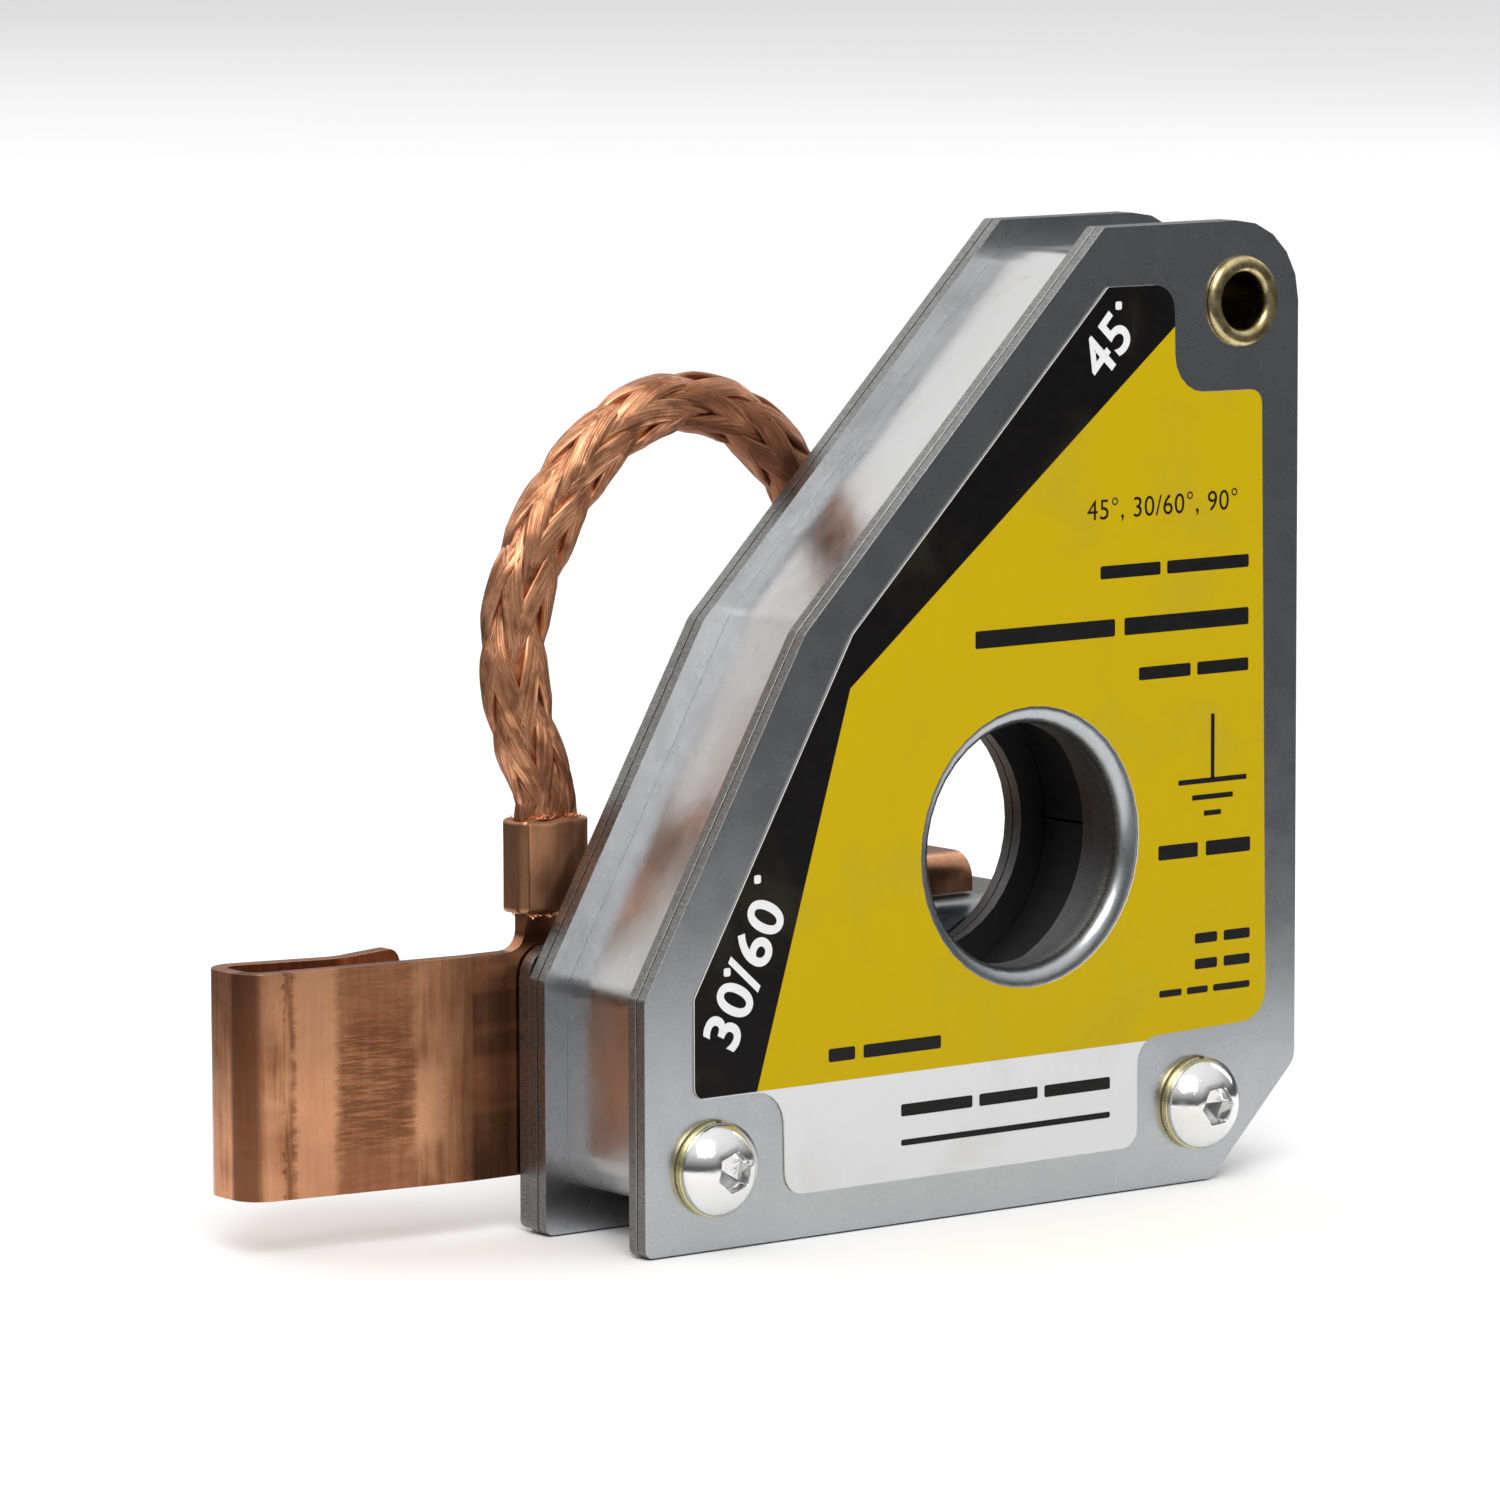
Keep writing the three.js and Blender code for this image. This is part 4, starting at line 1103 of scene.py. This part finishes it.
def make_spring(side):
    """A coil with one closed turn at each end."""
    low = SPRING_LOW + SPRING_WIRE / 2 + SPRING_GAP
    high = SPRING_HIGH - SPRING_WIRE / 2 - SPRING_GAP
    radius = SPRING_RADIUS - SPRING_WIRE / 2 - 0.01
    flat = SPRING_WIRE * 1.1
    line = []
    steps = SPRING_TURNS * SPRING_STEPS
    for i in range(steps + 1):
        turn = SPRING_TURNS * i / steps
        opened = min(max((turn - 1) / (SPRING_TURNS - 2), 0), 1)
        closed = min(turn, 1) + max(turn - SPRING_TURNS + 1, 0)
        z = low + closed * flat + opened * (high - low - 2 * flat)
        angle = 2 * math.pi * turn
        line.append(at(
            PIN_XS[side] + radius * math.cos(angle), PIN_Y + radius * math.sin(angle), z))
    piece = new_piece(f"{side}_spring_coil", *tube(line, SPRING_WIRE / 2 * MM, SPRING_SIDES))
    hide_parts(f"{side}_pad_spring")
    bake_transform(piece)
    put(piece, spring_metal, "spring_steel")


for side in PIN_XS:
    make_spring(side)

# ---- label marks

INK_BACK, INK_FRONT = -0.252, -0.262
NUMERALS = [
    # words, size, middle x and z, turn in degrees, thickening, ink
    ("45", 7.0, 66.3, 97.5, 47, 0.13, white_ink),
    ("30/60", 7.2, 13.98, 30.4, 64, 0.16, white_ink),
    ("45°, 30/60°, 90°", 3.3, 74.6, 78.9, 0, 0.0, black_ink),
]
LETTER_SPACING = 1.06
DEGREE_DOTS = [(11.3, 31.01), (15.6, 41.0), (67.82, 102.15)]
HALF_DOT = 0.95 / 2


def make_numerals(index, words, size, x0, z0, turn, thicken, ink):
    """Angle numerals in Blender's own font, as thin solid print on the label's face."""
    curve = bpy.data.curves.new(f"numerals_{index}", "FONT")
    curve.body = words
    curve.align_x = "CENTER"
    curve.align_y = "CENTER"
    curve.size = size
    curve.offset = thicken
    curve.space_character = LETTER_SPACING
    curve.extrude = (INK_BACK - INK_FRONT) / 2
    curve.resolution_u = 8
    drawn = bpy.data.objects.new("numerals_drawn", curve)
    bpy.context.scene.collection.objects.link(drawn)
    bpy.context.view_layer.update()
    shown = drawn.evaluated_get(bpy.context.evaluated_depsgraph_get())
    mesh = bpy.data.meshes.new_from_object(shown)
    bpy.data.objects.remove(drawn)
    upright = Matrix(((1, 0, 0, 0), (0, 0, -1, 0), (0, 1, 0, 0), (0, 0, 0, 1)))
    spin = Matrix.Rotation(-math.radians(turn), 4, "Y")
    mesh.transform(Matrix.Scale(MM, 4) @ spin @ upright)
    mesh.transform(Matrix.Translation(at(x0, (INK_BACK + INK_FRONT) / 2, z0)))
    piece = link_mesh(f"label_numerals_{index}", mesh)
    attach(piece, "root")
    put(piece, ink, "label_print")


for index, entry in enumerate(NUMERALS):
    make_numerals(index, *entry)

# Plain bars where the label has words.
BARS = [
    # left, right, middle height, thickness
    (65.2, 74.2, 71.8, 1.5), (75.2, 87.6, 71.8, 1.5),
    (46.8, 67.4, 65.4, 2.0), (68.8, 87.6, 65.4, 2.0),
    (71.0, 78.8, 59.8, 1.5), (79.8, 87.6, 59.8, 1.5),
    (74.0, 80.0, 38.8, 1.7), (81.2, 88.0, 38.8, 1.7),
    (79.6, 83.0, 28.4, 1.2), (84.0, 88.0, 28.4, 1.2),
    (79.6, 83.0, 25.4, 1.2), (84.0, 88.0, 25.4, 1.2),
    (74.2, 77.6, 22.4, 0.8), (78.4, 81.6, 22.4, 0.8), (82.4, 88.0, 22.4, 0.8),
    (25.6, 29.4, 20.2, 1.5), (30.6, 41.8, 20.2, 1.5),
    (36.0, 46.4, 12.9, 1.4), (47.4, 56.0, 12.9, 1.4), (57.0, 66.8, 12.9, 1.4),
    (36.0, 66.8, 9.2, 0.7),
]
EARTH_X, EARTH_TOP = 82.2, 54.4
EARTH_LINES = [
    # left, right, low, high
    (EARTH_X - 0.28, EARTH_X + 0.28, 46.9, EARTH_TOP),
    (EARTH_X - 5.2, EARTH_X + 5.2, 46.4, 47.0),
    (EARTH_X - 3.1, EARTH_X + 3.1, 44.5, 45.1),
    (EARTH_X - 1.3, EARTH_X + 1.3, 42.6, 43.2),
]


def ink_bar(left, right, low, high, corner):
    """A thin printed bar with rounded corners."""
    corner = min(corner, (high - low) / 2.01, (right - left) / 2.01)
    loop = []
    for cx, cz, first in (
        (right - corner, high - corner, 0), (left + corner, high - corner, 90),
        (left + corner, low + corner, 180), (right - corner, low + corner, 270),
    ):
        for step in range(5):
            angle = math.radians(first + 22.5 * step)
            loop.append((cx + corner * math.cos(angle), cz + corner * math.sin(angle)))
    points = [at(x, y, z) for y in (INK_FRONT, INK_BACK) for x, z in loop]
    return points, capped_faces(2, len(loop))


def print_marks(name, bars, ink):
    piece = mark_sharp(joined_piece(name, bars), 40)
    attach(piece, "root")
    put(piece, ink, "label_print")


BAR_CORNER, LINE_CORNER = 0.25, 0.05
print_marks("label_marks", [
    *(ink_bar(left, right, middle - tall / 2, middle + tall / 2, BAR_CORNER)
      for left, right, middle, tall in BARS),
    *(ink_bar(*line, LINE_CORNER) for line in EARTH_LINES),
], black_ink)
print_marks("degree_dots", [
    ink_bar(x - HALF_DOT, x + HALF_DOT, z - HALF_DOT, z + HALF_DOT, BAR_CORNER)
    for x, z in DEGREE_DOTS
], white_ink)

# ---- studio

FLOOR_REACH = 12.0
FLOOR_DROP = 0.0002  # keeps the floor off the plates' lower edges
SURROUND_X, SURROUND_Y = 0.19, 0.16  # half sizes of the bright floor that gloss sees
SURROUND_RINGS = (1.0, 1.6, 30.0)
SKY_GREYS = [(0.0, 0.07), (0.12, 0.11), (0.34, 0.42), (0.62, 0.85), (1.0, 1.02)]
BACKDROP = (1.2, 1.2, 1.2, 1)  # what the camera sees past the floor
LIGHT_AIM = (0.0, 0.0, 0.05)
LIGHTS = [
    # name, place, size, watts
    ("key", (-0.75, -1.05, 1.35), (1.0, 1.0), 18),
    ("fill_back", (-0.2, 1.9, 1.6), (3.6, 2.4), 18),
    ("side", (1.9, 0.6, 1.0), (1.4, 1.4), 8),
]


def make_floor():
    mesh = bpy.data.meshes.new("floor")
    r = FLOOR_REACH
    mesh.from_pydata([(-r, -r, 0), (r, -r, 0), (r, r, 0), (-r, r, 0)], [], [(0, 1, 2, 3)])
    floor = link_mesh("floor", mesh)
    floor.location.z = -FLOOR_DROP
    look = Look("floor_paint", Metallic=0.0, Roughness=0.9)
    look.colour(look.noise(0.02), (0.93, 0.93, 0.93), (0.95, 0.95, 0.95))
    floor.data.materials.append(look.material)


def make_dark_surround():
    """A dark ring on the floor that only gloss sees, as the plates in the photo mirror a dark
    room beyond a small bright table."""
    points, around = [], 48
    for spread in SURROUND_RINGS:
        for k in range(around):
            angle = 2 * math.pi * k / around
            points.append((
                spread * SURROUND_X * math.cos(angle),
                FRONT / 2 + spread * SURROUND_Y * math.sin(angle),
                0.001,
            ))
    mesh = bpy.data.meshes.new("dark_surround")
    mesh.from_pydata(points, [], grid_faces(len(SURROUND_RINGS), around))
    card = link_mesh("dark_surround", mesh)
    look = Look("surround_cloth", Metallic=0.0, Roughness=1.0)
    look.colour(look.noise(0.02, detail=2), (0.05, 0.05, 0.055), (0.06, 0.06, 0.065))
    card.data.materials.append(look.material)
    card.visible_camera = False
    card.visible_diffuse = False
    card.visible_shadow = False
    card.visible_transmission = False


def add_area(name, position, size, power):
    data = bpy.data.lights.new(name, "AREA")
    data.shape = "RECTANGLE"
    data.size, data.size_y = size
    data.energy = power
    lamp = bpy.data.objects.new(name, data)
    bpy.context.scene.collection.objects.link(lamp)
    lamp.location = position
    lamp.rotation_mode = "QUATERNION"
    aim = Vector(LIGHT_AIM) - Vector(position)
    lamp.rotation_quaternion = aim.to_track_quat("-Z", "Y")


def make_world():
    """A sky that is dark below and light above in reflections, and white to the camera."""
    world = bpy.data.worlds.new("studio")
    bpy.context.scene.world = world
    world.use_nodes = True
    tree = world.node_tree
    tree.nodes.clear()
    output = tree.nodes.new("ShaderNodeOutputWorld")
    background = tree.nodes.new("ShaderNodeBackground")
    place = tree.nodes.new("ShaderNodeTexCoord")
    split = tree.nodes.new("ShaderNodeSeparateXYZ")
    ramp = tree.nodes.new("ShaderNodeValToRGB")
    seen = tree.nodes.new("ShaderNodeLightPath")
    mix = tree.nodes.new("ShaderNodeMix")
    mix.data_type = "RGBA"
    colours = [s for s in mix.inputs if s.type == "RGBA"]
    band = ramp.color_ramp
    while len(band.elements) < len(SKY_GREYS):
        band.elements.new(0.5)
    for element, (position, value) in zip(band.elements, SKY_GREYS):
        element.position = position
        element.color = (value, value, value, 1)
    tree.links.new(place.outputs["Generated"], split.inputs[0])
    tree.links.new(split.outputs[2], ramp.inputs[0])
    tree.links.new(seen.outputs["Is Camera Ray"], mix.inputs["Factor"])
    tree.links.new(ramp.outputs[0], colours[0])
    colours[1].default_value = BACKDROP
    tree.links.new(next(s for s in mix.outputs if s.type == "RGBA"), background.inputs["Color"])
    tree.links.new(background.outputs[0], output.inputs["Surface"])


make_floor()
make_dark_surround()
make_world()
for light in LIGHTS:
    add_area(*light)
